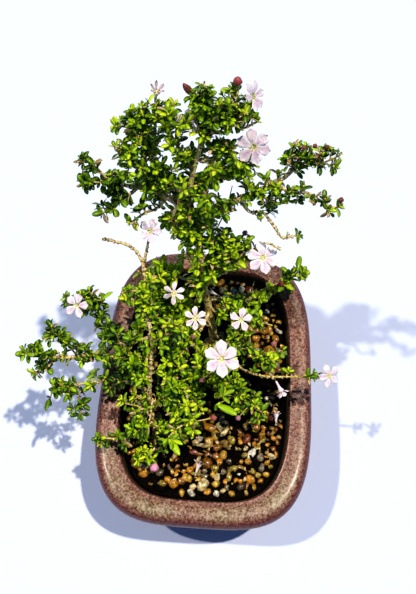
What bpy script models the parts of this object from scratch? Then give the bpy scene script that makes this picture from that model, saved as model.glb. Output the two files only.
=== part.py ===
"""A serissa bonsai in its glazed pot, at real size, in metres, with +Z up.

The origin is the middle of the pot's flat underside. The photograph's viewer stands at -Y, and the long
side of the pot runs along Y. Routes of branches are lists of points in millimetres, chosen by eye.
Gaps of 0.3 mm part the pieces that touch.
"""

import math
import random

import bpy
import bmesh
from mathutils import Matrix, Vector
from mathutils.bvhtree import BVHTree

MM = 0.001
GAP = 0.3 * MM
WELD = 0.0005 * MM

# Pot: a rounded rectangle 120 mm wide, 163 mm long and 50 mm tall
POT_HALF_WIDTH = 60 * MM
POT_HALF_LENGTH = 81.6 * MM
POT_HEIGHT = 50 * MM
POT_SQUARENESS = 3.6
POT_SIDES = 32
POT_FLOOR_Z = 7 * MM
POT_OUTSIDE = [(12.5, 0), (6, 30), (4.6, 38), (0.8, 41), (0, 43.5), (0.8, 47), (3.2, 49.4)]
POT_INSIDE = [(7, 50), (11, 48.8), (13.5, 45), (16.5, 14), (20, 7)]
DRAIN_RADIUS = 7 * MM
DRAIN_Y = 38 * MM
DRAIN_GROOVE_WIDTH = 9 * MM
DRAIN_GROOVE_DEPTH = 2 * MM
SCREEN_SIDE = 22 * MM
SCREEN_THICKNESS = 0.8 * MM

# Soil and the river pebbles on it
# The soil's side, as inset and height in millimetres, 0.3 mm or more from the wall
SOIL_WALL = [(20.5, 7.3), (16.9, 14), (14.3, 41)]
SOIL_EDGE_Z = 41 * MM
SOIL_CROWN = 2.5 * MM
SOIL_ROUGHNESS = 0.5 * MM
SOIL_RINGS = 4
PEBBLE_TRIES = 68
PEBBLE_STEP = 9 * MM
PEBBLE_MARGIN = 20 * MM
PEBBLE_RADII = (2.3 * MM, 3.8 * MM)
PEBBLE_MAX_TILT = 0.25
PEBBLE_MAX_STRETCH = 1.35
# The stems' feet stand 0.3 mm above the floor of their holes
STEM_SOCKET_Z = 31.7 * MM

# Leaves, as blades with sharp edges that are thickest at the middle
LEAF_LENGTH = 8.2 * MM
LEAF_WIDTH = 4.4 * MM
LEAF_START = 0.25 * MM
LEAF_THICKNESS = 0.9 * MM
LEAF_SPACING = 25 * MM
FIRST_LEAF = 6 * MM
FIRST_SHOOT_LEAF = 3 * MM
SHOOT_SPACING = 30 * MM
SHOOT_LENGTH = 9 * MM
SHOOT_RADIUS = 0.6 * MM
SHOOT_TURN = 2.4
ROSETTE_STEP = 1.3 * MM
LEAF_CLEARANCE = 0.3 * MM
# Twigs of a spray: radius of the side twigs, and of every twig at its tip
SIDE_TWIG_RADIUS = 0.75 * MM
TWIG_TIP_RADIUS = 0.6 * MM

PETAL_THICKNESS = 0.8 * MM
# Edges of a leaf and of a petal, as parts of the length and of the width
LEAF_OUTLINE = [(0.0, 0.0), (0.58, 0.5), (1.0, 0.0), (0.58, -0.5)]
PETAL_OUTLINE = [(0.0, 0.0), (0.72, 0.5), (1.0, 0.22), (1.0, -0.22), (0.72, -0.5)]
PETAL_START = 1.0 * MM
PETAL_BREADTH = 0.6
FLOWER_TUBE_LENGTH = 6 * MM
FLOWER_TUBE_RADII = (0.6 * MM, 1.7 * MM)
STALK_RADIUS = 0.6 * MM
STALK_STRAIGHT = 1.6 * MM

MATERIALS = {
    "glaze": ((0.30, 0.10, 0.10), 0.25),
    "soil": ((0.05, 0.04, 0.03), 0.95),
    "screen": ((0.06, 0.06, 0.06), 0.6),
    "bark": ((0.32, 0.24, 0.12), 0.8),
    "leaf": ((0.10, 0.30, 0.04), 0.45),
    "petal": ((0.87, 0.74, 0.85), 0.55),
    "bud": ((0.35, 0.12, 0.09), 0.6),
}

# Woody limbs that are one piece with the trunk: radius at base and tip, then the route, all in millimetres
TRUNK = (2.7, 0.9, [
    (-2, 19, 32), (-2, 19, 46), (2, 20, 54), (1, 25, 66), (-2, 32, 80), (-4, 36, 91), (-5, 41, 104),
    (-8, 48, 116), (-11, 54, 129), (-12, 57, 139), (-10, 63, 151), (-7, 68, 162), (-5, 75, 172),
    (-6, 78, 178)])
LIMBS = {
    "limb_right": (1.6, 1.2, [(-8, 48, 116), (1, 56, 128), (12, 59, 135), (23, 63, 140), (32, 66, 144)]),
    "limb_left": (1.5, 1.1, [(-11, 54, 129), (-23, 59, 134), (-31, 60, 138), (-41, 60, 140)]),
    "limb_back": (1.3, 0.9, [(-12, 57, 139), (-22, 63, 143), (-31, 71, 154)]),
    "limb_low": (1.5, 1.0, [(-2, 19, 48), (-1, 10, 54), (-4, 0, 59)]),
}

# The thin second stem that rises from the near left of the soil, with its two bare prongs
SECOND_STEM = (1.3, 0.9, [
    (-25, -43, 32), (-25, -43, 45), (-26, -34, 51), (-28, -24, 62), (-29, -16, 72), (-28, 1, 87),
    (-30, 10, 94), (-32, 23, 102), (-35, 37, 108)])
PRONGS = {
    "prong_long": (0.9, 0.6, [
        (-35, 37, 108), (-39, 42, 111), (-44, 44, 113), (-50, 45, 114), (-56, 45, 115)]),
    "prong_short": (0.8, 0.6, [(-34, 37, 108), (-33, 41, 113), (-32, 46, 117)]),
}

# Leafy sprays. Each has the wood that carries it, its base radius, and the routes of its twigs
SPRAYS = {
    "spray_right_upper": ("limb_right", 1.1, [
        [(32, 66, 144), (40, 71, 149), (45, 71, 152), (51, 73, 157)], [(40, 71, 149), (38, 75, 157)]]),
    "spray_right_tip": ("limb_right", 0.9, [
        [(29, 65, 143), (36, 60, 141), (44, 60, 142), (54, 53, 142), (58, 52, 143)]]),
    "spray_right_hanging": ("limb_right", 0.9, [
        [(12, 59, 135), (18, 55, 131), (24, 56, 130), (32, 49, 124), (35, 47, 122), (42, 49, 123)]]),
    "spray_right_rosette": ("limb_right", 0.8, [[(20, 62, 139), (28, 58, 136), (35, 57, 138)]]),
    "spray_rim": ("trunk", 1.0, [
        [(-5, 41, 104), (4, 48, 111), (11, 51, 112), (19, 47, 107), (24, 45, 104)],
        [(19, 47, 107), (27, 50, 112), (34, 48, 110)]]),
    "spray_corner": ("trunk", 1.1, [
        [(-2, 32, 80), (13, 37, 74), (29, 46, 68), (42, 52, 70), (50, 57, 74)]]),
    "spray_twig": ("trunk", 1.0, [
        [(2, 20, 56), (14, 5, 58), (28, -4, 64), (45, -6, 70), (57, -6, 73)]]),
    "spray_left_high": ("second_stem", 1.1, [
        [(-29, 4, 89), (-44, 3, 80), (-54, 9, 77), (-61, 23, 78), (-66, 31, 84)],
        [(-61, 23, 78), (-69, 24, 80), (-78, 27, 83)]]),
    "spray_left_middle": ("second_stem", 1.1, [
        [(-29, -8, 79), (-44, -2, 71), (-58, 0, 69), (-68, -4, 76), (-76, -7, 80), (-85, -7, 84),
         (-93, -7, 88)],
        [(-68, -4, 76), (-74, 1, 82), (-82, 5, 87)], [(-76, -7, 80), (-84, -11, 77), (-89, -15, 76)]]),
    "spray_left_low": ("second_stem", 1.1, [
        [(-29, -18, 69), (-44, -12, 64), (-54, -12, 63), (-64, -15, 65), (-79, -19, 69)],
        [(-69, -17, 66), (-67, -23, 59), (-66, -30, 56)]]),
    "spray_left_sprig": ("second_stem", 0.9, [
        [(-26, -30, 54), (-38, -40, 56), (-49, -42, 58), (-54, -43, 58)]]),
    "spray_crown_left": ("limb_left", 1.0, [
        [(-41, 60, 140), (-49, 59, 144), (-56, 63, 149), (-61, 65, 152)],
        [(-49, 59, 144), (-57, 59, 145), (-62, 58, 146)]]),
    "spray_crown_hanging": ("limb_left", 0.9, [
        [(-37, 60, 139), (-43, 55, 137), (-50, 53, 134), (-54, 50, 130)]]),
    "spray_crown_low": ("limb_left", 0.9, [[(-23, 59, 134), (-28, 56, 129), (-34, 54, 127), (-41, 50, 124)]]),
    "spray_crown_side": ("limb_left", 0.9, [
        [(-17, 57, 131), (-22, 62, 138), (-33, 66, 147), (-41, 68, 152), (-47, 69, 157)]]),
    "spray_crown_back": ("limb_back", 0.9, [
        [(-31, 71, 154), (-38, 75, 160), (-44, 78, 164)],
        [(-34, 73, 157), (-35, 76, 163), (-35, 79, 169)]]),
    "spray_crown_inner": ("trunk", 0.9, [[(-10, 63, 151), (-17, 69, 158), (-23, 75, 166), (-27, 80, 172)]]),
    "spray_apex": ("trunk", 0.9, [
        [(-6, 78, 178), (-6, 80, 183), (-6, 81, 187)], [(-6, 79, 180), (-10, 78, 182)]]),
    "spray_crown_right": ("trunk", 0.9, [
        [(-7, 68, 162), (0, 73, 168), (5, 78, 174), (8, 82, 179)],
        [(0, 73, 168), (8, 76, 171), (13, 79, 174)]]),
    "spray_crown_front": ("trunk", 1.0, [[(-9, 65, 155), (3, 68, 156), (13, 74, 160), (20, 80, 164)]]),
    "spray_crown_flower": ("trunk", 0.9, [[(-12, 58, 142), (-2, 62, 146), (9, 66, 149), (15, 70, 152)]]),
    "spray_shoulder": ("trunk", 0.9, [[(-7, 46, 113), (-14, 49, 119), (-21, 53, 125)]]),
    "spray_neck": ("trunk", 0.9, [[(-4, 37, 94), (5, 38, 98), (11, 40, 104), (13, 41, 110)]]),
    "spray_low_left": ("trunk", 0.9, [[(-3, 34, 86), (-11, 38, 88), (-22, 41, 91), (-30, 45, 94)]]),
    "spray_mid_left": ("trunk", 1.0, [[(1, 24, 63), (-10, 24, 70), (-20, 27, 76), (-26, 33, 82)]]),
    "spray_middle": ("trunk", 1.0, [[(0, 28, 73), (-4, 16, 76), (-10, 5, 78), (-14, -3, 82)]]),
    "spray_heart": ("limb_low", 1.0, [
        [(-3, 3, 58), (3, 2, 66), (7, -3, 76), (8, -8, 88)],
        [(3, 2, 66), (13, 4, 70), (18, 12, 72), (17, 19, 74)]]),
    "spray_front": ("limb_low", 1.0, [
        [(-4, 0, 59), (-8, -11, 62), (-6, -22, 68), (-6, -34, 71)],
        [(-8, -11, 62), (-15, -19, 66), (-16, -29, 68)]]),
    "spray_front_right": ("limb_low", 1.0, [[(-2, 8, 55), (8, -7, 60), (19, -17, 62), (31, -24, 62)]]),
    "spray_right_back": ("trunk", 0.9, [[(-1, 30, 76), (11, 24, 72), (23, 26, 70), (34, 24, 69)]]),
    "spray_right_low": ("trunk", 1.0, [[(2, 21, 57), (17, 14, 60), (30, 9, 64), (41, 10, 67)]]),
}
# Leafy side shoots that are one piece with the second stem
STEM_SHOOTS = [
    [(-26, -36, 50), (-18, -36, 55), (-10, -34, 59)],
    [(-28, -26, 60), (-34, -26, 66), (-41, -26, 70)],
    [(-28, -24, 62), (-20, -21, 72), (-13, -18, 78)],
    [(-29, -14, 74), (-36, -8, 80), (-41, -2, 82)],
    [(-28, 1, 87), (-21, 4, 92), (-14, 8, 96)],
    [(-31, 16, 98), (-37, 18, 101), (-43, 21, 102)],
    [(-25, -42, 46), (-28, -48, 49), (-33, -51, 51)],
]

# Blooms: the spray or stem that bears it, centre of the face, the way it faces, radius and petals
FLOWERS = {
    "flower_middle": ("spray_heart", (8, -9, 98), (0.05, -0.45, 1.0), 8.4, 6),
    "flower_crown": ("spray_crown_flower", (17, 73, 157), (0.15, -0.55, 0.8), 8.0, 6),
    "flower_rim": ("spray_rim", (26, 43, 109), (0.15, -0.5, 0.9), 7.9, 6),
    "flower_left": ("spray_left_high", (-70, 20, 88), (-0.15, -0.5, 0.9), 6.4, 5),
    "flower_top": ("spray_crown_right", (15, 82, 179), (0.75, -0.35, 0.6), 6.4, 6),
    "flower_twig": ("spray_twig", (64, -7, 78), (0.45, -0.45, 0.8), 6.4, 5),
    "flower_shade": ("spray_heart", (17, 20, 82), (0.1, -0.4, 0.9), 6.0, 5),
    "flower_narrow": ("spray_mid_left", (-19, 28, 93), (0.0, -0.4, 0.9), 5.8, 6),
    "flower_stem": ("spray_middle", (-7, 17, 87), (0.1, -0.4, 0.9), 5.8, 6),
    "flower_prong": ("second_stem", (-31, 47, 122), (-0.2, -0.45, 0.85), 6.0, 5),
    "flower_faded": ("spray_crown_inner", (-27, 82, 179), (0.2, -0.2, 1.0), 4.8, 6),
    "flower_hidden": ("spray_crown_inner", (-13, 73, 171), (0.1, -0.5, 0.8), 5.5, 5),
    "flower_hanging": ("spray_twig", (41, -11, 61), (0.4, -0.55, -0.4), 4.2, 5),
}
FALLEN_FLOWERS = {
    "fallen_trumpet": ((40, -20), (0.0, 1.0), 3.6, 5),
    "fallen_small": ((-1, 55), (-0.8, 0.4), 3.2, 5),
    "fallen_dried": ((-1, -50), (0.2, 0.8), 4.0, 4),
}
# Buds: what bears it, its centre, the way it points, its radius and half its length
BUDS = {
    "bud_long": ("spray_apex", (-13, 79, 184), (-0.55, 0.1, 0.8), 1.5, 3.6),
    "bud_round": ("spray_crown_right", (8, 84, 185), (0.1, 0.3, 1.0), 2.0, 2.2),
    "bud_brown": ("spray_corner", (39, 47, 75), (0.0, -0.4, 1.0), 1.9, 2.1),
    "bud_pink": ("second_stem", (-24, -54, 51), (0.3, -0.5, 0.7), 2.4, 2.7),
}


def vector(point):
    return Vector(point) * MM


def make_collection(name):
    collection = bpy.data.collections.new(name)
    bpy.context.scene.collection.children.link(collection)
    return collection


def make_materials():
    made = {}
    for name, (colour, roughness) in MATERIALS.items():
        material = bpy.data.materials.new(name)
        material.use_nodes = True
        shader = material.node_tree.nodes["Principled BSDF"]
        shader.inputs["Base Color"].default_value = (*colour, 1.0)
        shader.inputs["Roughness"].default_value = roughness
        shader.inputs["Metallic"].default_value = 0.0
        made[name] = material
    return made


def mesh_object(name, verts, faces, collection, material=None):
    mesh = bpy.data.meshes.new(name)
    mesh.from_pydata(verts, [], faces)
    obj = bpy.data.objects.new(name, mesh)
    collection.objects.link(obj)
    if material:
        mesh.materials.append(material)
    return obj


def superellipse(inset, z):
    """One ring of the pot's rounded rectangle, set in from the widest outline."""
    half_x = POT_HALF_WIDTH - inset
    half_y = POT_HALF_LENGTH - inset
    power = 2.0 / POT_SQUARENESS
    ring = []
    for i in range(POT_SIDES):
        angle = 2.0 * math.pi * i / POT_SIDES
        cos, sin = math.cos(angle), math.sin(angle)
        x = half_x * math.copysign(abs(cos) ** power, cos)
        y = half_y * math.copysign(abs(sin) ** power, sin)
        ring.append((x, y, z))
    return ring


def loft(rings):
    """Closed solid through rings of equal count, with flat ends. The first ring is the lower outer one."""
    count = len(rings[0])
    verts = [point for ring in rings for point in ring]
    faces = [list(range(count))[::-1]]
    for r in range(len(rings) - 1):
        for i in range(count):
            j = (i + 1) % count
            low, high = r * count, (r + 1) * count
            faces.append((low + i, low + j, high + j, high + i))
    last = (len(rings) - 1) * count
    faces.append([last + i for i in range(count)])
    return verts, faces


def cut(target, cutter, operation="DIFFERENCE"):
    modifier = target.modifiers.new(operation.lower(), "BOOLEAN")
    modifier.object = cutter
    modifier.operation = operation
    modifier.solver = "EXACT"


def primitive(collection, name, build, matrix):
    """A bmesh primitive as an object in the collection."""
    bm = bmesh.new()
    build(bm)
    bmesh.ops.transform(bm, matrix=matrix, verts=bm.verts)
    mesh = bpy.data.meshes.new(name)
    bm.to_mesh(mesh)
    bm.free()
    obj = bpy.data.objects.new(name, mesh)
    collection.objects.link(obj)
    return obj


def hide_helper(obj):
    obj.hide_render = True
    obj.display_type = "WIRE"


def cylinder(collection, name, radius, bottom, top, x=0.0, y=0.0):
    def build(bm):
        size = {"radius1": radius, "radius2": radius, "depth": top - bottom}
        bmesh.ops.create_cone(bm, cap_ends=True, segments=16, **size)
    return primitive(collection, name, build, Matrix.Translation((x, y, (top + bottom) / 2)))


def box(collection, name, size, centre):
    def build(bm):
        bmesh.ops.create_cube(bm, size=1.0)
    return primitive(collection, name, build, Matrix.Translation(centre) @ Matrix.Diagonal((*size, 1.0)))


def make_pot(parts, helpers, material):
    """The pot: a lofted shell with a rolled rim, two drain holes, and a groove under each hole."""
    profile = POT_OUTSIDE + POT_INSIDE
    rings = [superellipse(inset * MM, z * MM) for inset, z in profile]
    pot = mesh_object("pot", *loft(rings), parts, material)
    for side, y in (("near", -DRAIN_Y), ("far", DRAIN_Y)):
        hole = cylinder(helpers, "drain_cutter_" + side, DRAIN_RADIUS, -MM, POT_FLOOR_Z + MM, y=y)
        groove_size = (2.4 * POT_HALF_WIDTH, DRAIN_GROOVE_WIDTH, 2 * DRAIN_GROOVE_DEPTH)
        groove = box(helpers, "groove_cutter_" + side, groove_size, (0, y, 0))
        for cutter in (hole, groove):
            hide_helper(cutter)
            cut(pot, cutter)
    pot.data.shade_smooth()
    pot.data.set_sharp_from_angle(angle=math.radians(45))
    return pot


def make_screens(parts, material):
    """A thin screen over each drain hole, under the soil."""
    for side, y in (("near", -DRAIN_Y), ("far", DRAIN_Y)):
        centre = (0, y, POT_FLOOR_Z + GAP + SCREEN_THICKNESS / 2)
        screen = box(parts, "drain_screen_" + side, (SCREEN_SIDE, SCREEN_SIDE, SCREEN_THICKNESS), centre)
        screen.data.materials.append(material)


def soil_height(x, y):
    """Height of the soil's surface, without its roughness: a low mound that ends level at the wall."""
    reach = max(abs(x) / (POT_HALF_WIDTH - 14 * MM), abs(y) / (POT_HALF_LENGTH - 14 * MM))
    return SOIL_EDGE_Z + SOIL_CROWN * (1.0 - min(reach, 1.0) ** 2)


def make_soil(parts, helpers, material, rng):
    """The soil fills the pot, with a pocket over each screen and a plain hole for each stem."""
    inner = [(inset * MM, z * MM) for inset, z in SOIL_WALL]
    rings = [superellipse(inset, z) for inset, z in inner]
    for r in range(1, SOIL_RINGS):
        shrink = 1.0 - r / SOIL_RINGS
        ring = []
        for x, y, _ in superellipse(inner[-1][0], 0.0):
            x, y = x * shrink, y * shrink
            ring.append((x, y, soil_height(x, y) + rng.uniform(-1, 1) * SOIL_ROUGHNESS))
        rings.append(ring)
    soil = mesh_object("soil", *loft(rings), parts, material)
    join_collection(soil, make_pebbles(rng))
    for name, (radius, _, route) in (("trunk", TRUNK), ("second_stem", SECOND_STEM)):
        x, y, _ = vector(route[0])
        hole = cylinder(helpers, name + "_socket", radius * MM + GAP, STEM_SOCKET_Z, POT_HEIGHT, x, y)
        hide_helper(hole)
        cut(soil, hole)
    for side, y in (("near", -DRAIN_Y), ("far", DRAIN_Y)):
        size = (SCREEN_SIDE + 2 * GAP, SCREEN_SIDE + 2 * GAP, 2 * (SCREEN_THICKNESS + 2 * GAP))
        pocket = box(helpers, "pocket_cutter_" + side, size, (0, y, POT_FLOOR_Z))
        hide_helper(pocket)
        cut(soil, pocket)
    return soil


def make_pebbles(rng):
    """River pebbles as low five-sided stones, half sunk in the soil, clear of the wall and the stems."""
    pebbles = make_collection("pebbles")
    places = []
    for i in range(PEBBLE_TRIES):
        radius = rng.uniform(*PEBBLE_RADII)
        x = rng.uniform(-1, 1) * (POT_HALF_WIDTH - PEBBLE_MARGIN)
        y = rng.uniform(-1, 1) * (POT_HALF_LENGTH - PEBBLE_MARGIN)
        crowded = any(math.dist((x, y), other) < PEBBLE_STEP for other in places)
        if crowded or outside_wall(x, y) or near_stem(x, y, radius):
            continue
        places.append((x, y))
        turn = Matrix.Rotation(rng.uniform(0, 2 * math.pi), 4, "Z")
        tilt = Matrix.Rotation(rng.uniform(-PEBBLE_MAX_TILT, PEBBLE_MAX_TILT), 4, "X")
        stretch = Matrix.Diagonal((radius * rng.uniform(1.0, PEBBLE_MAX_STRETCH), radius, radius, 1.0))
        place = Matrix.Translation((x, y, soil_height(x, y) + 0.1 * radius))

        def build(bm):
            bmesh.ops.create_cone(bm, cap_ends=True, segments=5, radius1=1.0, radius2=0.55, depth=1.5)
        primitive(pebbles, "pebble_%d" % i, build, place @ turn @ tilt @ stretch)
    return pebbles


def outside_wall(x, y):
    """True where a pebble would reach the pot's wall in a corner."""
    across = abs(x) / (POT_HALF_WIDTH - PEBBLE_MARGIN)
    along = abs(y) / (POT_HALF_LENGTH - PEBBLE_MARGIN)
    return across ** POT_SQUARENESS + along ** POT_SQUARENESS > 1.0


def near_stem(x, y, radius):
    """True where a pebble would touch a stem or one of its low branches."""
    centre = Vector((x, y, soil_height(x, y)))
    low_routes = [TRUNK[2], SECOND_STEM[2], LIMBS["limb_low"][2]] + STEM_SHOOTS
    reach = PEBBLE_MAX_STRETCH * radius + TRUNK[0] * MM + 4 * GAP
    for route in low_routes:
        nearest, _, _ = nearest_on([vector(p) for p in route], centre)
        if (nearest - centre).length < reach:
            return True
    return False


def join_collection(target, collection):
    """Unites everything in the collection with the target, applies it, and drops loose scraps."""
    before = target.data
    for solver in ("EXACT", "MANIFOLD"):
        target.data = united(target, collection, solver)
        keep_largest_shell(target)
        if is_closed(target):
            break
        target.data = before
    for obj in list(collection.objects):
        bpy.data.objects.remove(obj)
    bpy.data.collections.remove(collection)


def united(target, collection, solver):
    """The union of the target and the collection as a new mesh."""
    modifier = target.modifiers.new("union", "BOOLEAN")
    modifier.operand_type = "COLLECTION"
    modifier.collection = collection
    modifier.operation = "UNION"
    modifier.solver = solver
    bpy.context.view_layer.update()
    graph = bpy.context.evaluated_depsgraph_get()
    mesh = bpy.data.meshes.new_from_object(target.evaluated_get(graph))
    target.modifiers.remove(modifier)
    return mesh


def is_closed(obj):
    bm = bmesh.new()
    bm.from_mesh(obj.data)
    closed = all(len(edge.link_faces) == 2 for edge in bm.edges)
    bm.free()
    if not closed:
        print("open after union:", obj.name)
    return closed


def shells(bm):
    """Groups of faces that hang together."""
    left = set(bm.faces)
    while left:
        seed = left.pop()
        group, queue = [seed], [seed]
        while queue:
            for edge in queue.pop().edges:
                for face in edge.link_faces:
                    if face in left:
                        left.remove(face)
                        group.append(face)
                        queue.append(face)
        yield group


def keep_largest_shell(obj):
    """Fills hollows that the union sealed, and drops loose scraps: both are small shells of their own."""
    bm = bmesh.new()
    bm.from_mesh(obj.data)
    bmesh.ops.remove_doubles(bm, verts=bm.verts, dist=WELD)
    groups = sorted(shells(bm), key=len)
    for group in groups[:-1]:
        bmesh.ops.delete(bm, geom=group, context="FACES")
    loose = [vert for vert in bm.verts if not vert.link_faces]
    bmesh.ops.delete(bm, geom=loose, context="VERTS")
    bm.to_mesh(obj.data)
    bm.free()


def tube(collection, name, route, radius, tip_radius, sides=6):
    """A tapered stem along a route in metres, made as a bevelled curve and turned into a closed mesh."""
    curve = bpy.data.curves.new(name, "CURVE")
    curve.dimensions = "3D"
    curve.bevel_depth = 1.0
    curve.bevel_resolution = (sides - 4) // 2
    curve.use_fill_caps = True
    spline = curve.splines.new("POLY")
    spline.points.add(len(route) - 1)
    for i, point in enumerate(route):
        part = i / (len(route) - 1)
        spline.points[i].co = (*point, 1.0)
        spline.points[i].radius = radius + (tip_radius - radius) * part
    guide = bpy.data.objects.new(name + "_guide", curve)
    collection.objects.link(guide)
    bpy.context.view_layer.update()
    graph = bpy.context.evaluated_depsgraph_get()
    mesh = bpy.data.meshes.new_from_object(guide.evaluated_get(graph))
    bm = bmesh.new()
    bm.from_mesh(mesh)
    bmesh.ops.remove_doubles(bm, verts=bm.verts, dist=0.001 * MM)
    bm.to_mesh(mesh)
    bm.free()
    obj = bpy.data.objects.new(name, mesh)
    obj.matrix_world = guide.matrix_world
    collection.objects.link(obj)
    bpy.data.objects.remove(guide)
    return obj


def blade_mesh(base, along, up, length, width, thickness, outline):
    """A leaf or petal: points round its edge, and one above and one below its middle."""
    along = along.normalized()
    side = along.cross(up).normalized()
    face = side.cross(along).normalized()
    verts = []
    for part, out in outline:
        droop = face * (-0.10 * length * part * part)
        verts.append(base + along * (length * part) + side * (width * out) + droop)
    middle = base + along * (length * 0.52) - face * (0.03 * length)
    verts.append(middle + face * (thickness / 2))
    verts.append(middle - face * (thickness / 2))
    faces = []
    count = len(outline)
    for i in range(count):
        j = (i + 1) % count
        faces.append((j, i, count))
        faces.append((i, j, count + 1))
    return verts, faces


class Surroundings:
    """The solids made so far, which new leaves keep clear of."""

    def __init__(self):
        self.trees = {}

    def add(self, name, obj):
        verts = [v.co.copy() for v in obj.data.vertices]
        self.add_shape(name, verts, [p.vertices[:] for p in obj.data.polygons])

    def add_shape(self, name, verts, faces):
        self.trees.setdefault(name, []).append(BVHTree.FromPolygons(verts, faces))

    def add_with_modifiers(self, name, obj):
        bpy.context.view_layer.update()
        solid = obj.evaluated_get(bpy.context.evaluated_depsgraph_get())
        mesh = solid.to_mesh()
        self.add_shape(name, [v.co.copy() for v in mesh.vertices], [p.vertices[:] for p in mesh.polygons])
        solid.to_mesh_clear()

    def height_below(self, point):
        """Height of the soil or pebble under a point."""
        tree = self.trees["soil"][0]
        hit, _, _, _ = tree.ray_cast(Vector((point.x, point.y, 2 * POT_HEIGHT)), Vector((0, 0, -1)))
        return hit.z if hit else 0.0

    def crosses(self, name, verts, faces):
        """True where the shape, grown a little, meets a solid of another node."""
        centre = sum(verts, Vector()) / len(verts)
        grown = []
        for vert in verts:
            out = vert - centre
            grown.append(vert + out.normalized() * LEAF_CLEARANCE)
        tree = BVHTree.FromPolygons(grown, faces)
        for other, trees in self.trees.items():
            if other == name:
                continue
            if any(tree.overlap(t) for t in trees):
                return True
        return False


def blade_object(collection, name, verts, faces):
    return mesh_object(name, [tuple(v) for v in verts], faces, collection)


def frame_on(route, distance):
    """The point and the direction at a distance along a route."""
    for a, b in zip(route, route[1:]):
        step = (b - a).length
        if distance <= step:
            return a + (b - a) * (distance / step), (b - a).normalized()
        distance -= step
    return route[-1].copy(), (route[-1] - route[-2]).normalized()


def route_length(route):
    return sum((b - a).length for a, b in zip(route, route[1:]))


def perpendicular(direction, turn):
    """A unit vector square to the direction, turned about it."""
    start = direction.cross(Vector((0.31, 0.17, 1.0))).normalized()
    return Matrix.Rotation(turn, 3, direction) @ start


def leaf_candidates(route, rng, first):
    """Leaf places along a twig: opposite pairs, each pair a quarter turn on, and a rosette at the tip."""
    length = route_length(route)
    turn = rng.uniform(0, math.pi)
    distance = first
    places = []
    while distance < length - 2.5 * MM:
        point, direction = frame_on(route, distance)
        for half in (0.0, math.pi):
            out = perpendicular(direction, turn + half)
            heading = out * 0.9 + direction * 0.55 + Vector((0, 0, 0.3))
            places.append((point + out * LEAF_START, heading, direction, 0.95))
        turn += math.pi / 2
        distance += LEAF_SPACING * rng.uniform(0.85, 1.15)
    tip, direction = frame_on(route, length)
    for layer, (spread, rise) in enumerate(((1.0, 0.45), (0.75, 1.0))):
        point = tip - direction * (0.5 * MM + (1 - layer) * ROSETTE_STEP)
        for half in (0.0, math.pi):
            out = perpendicular(direction, turn + half + layer * math.pi / 2)
            places.append((point + out * LEAF_START, out * spread + direction * rise, direction, 1.0))
    return places


def clear_start(route, carrier_route, carrier_radius, twig_radius):
    """Moves the start of a spray off the axis of the wood that carries it, to a 0.3 mm seat."""
    start, after = route[0], route[1]
    nearest, tangent, ends = nearest_on(carrier_route, start)
    if ends and (nearest - carrier_route[-1]).length < 0.01 * MM:
        direction = tangent
        seat = nearest + direction * GAP
    else:
        direction = (after - nearest) - tangent * (after - nearest).dot(tangent)
        direction.normalize()
        seat = nearest + direction * (carrier_radius + GAP)
    collar = seat + direction * (1.2 * twig_radius)
    return [seat, collar] + route[1:]


def nearest_on(route, point):
    """The nearest point on a route, the direction there, and whether it is the route's end."""
    best = None
    for i, (a, b) in enumerate(zip(route, route[1:])):
        line = b - a
        part = max(0.0, min(1.0, (point - a).dot(line) / line.length_squared))
        here = a + line * part
        distance = (point - here).length
        if best is None or distance < best[0] - 1e-9:
            at_end = i == len(route) - 2 and part > 0.999
            best = (distance, here, line.normalized(), at_end)
    return best[1], best[2], best[3]


def radius_at(entry, point):
    """Radius of a tapered limb nearest the point."""
    base, tip, route = entry
    points = [vector(p) for p in route]
    best = min(range(len(points)), key=lambda i: (points[i] - point).length)
    before = max(best - 1, 0)
    return (base + (tip - base) * before / (len(points) - 1)) * MM


def make_wood(name, parts, main, limbs, material):
    """A trunk or stem with its limbs, fused into one body."""
    base, tip, route = main
    body = tube(parts, name, [vector(p) for p in route], base * MM, tip * MM)
    body.data.materials.append(material)
    pieces = make_collection(name + "_limbs")
    for limb, (limb_base, limb_tip, limb_route) in limbs.items():
        tube(pieces, limb, [vector(p) for p in limb_route], limb_base * MM, limb_tip * MM)
    join_collection(body, pieces)
    return body


def grow_shoots(name, pieces, routes, rng, around, first):
    """Short side shoots along the routes, without those that would cross another node."""
    shoots = []
    for route in routes:
        length = route_length(route)
        distance = first + 0.4 * SHOOT_SPACING
        turn = rng.uniform(0, 2 * math.pi)
        while distance < length - 5 * MM:
            point, direction = frame_on(route, distance)
            out = perpendicular(direction, turn)
            heading = (out + direction * 0.5 + Vector((0, 0, 0.6))).normalized()
            tip = point + (heading + out * 0.15) * SHOOT_LENGTH
            shoot = [point, point + heading * (0.5 * SHOOT_LENGTH), tip]
            label = "%s_shoot_%d" % (name, len(shoots))
            obj = tube(pieces, label, shoot, SHOOT_RADIUS, 0.8 * SHOOT_RADIUS, sides=4)
            verts = [v.co.copy() for v in obj.data.vertices]
            faces = [p.vertices[:] for p in obj.data.polygons]
            if around.crosses(name, verts, faces):
                bpy.data.objects.remove(obj)
            else:
                around.add_shape(name, verts, faces)
                shoots.append(shoot)
            turn += SHOOT_TURN
            distance += SHOOT_SPACING * rng.uniform(0.8, 1.2)
    return shoots


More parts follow.
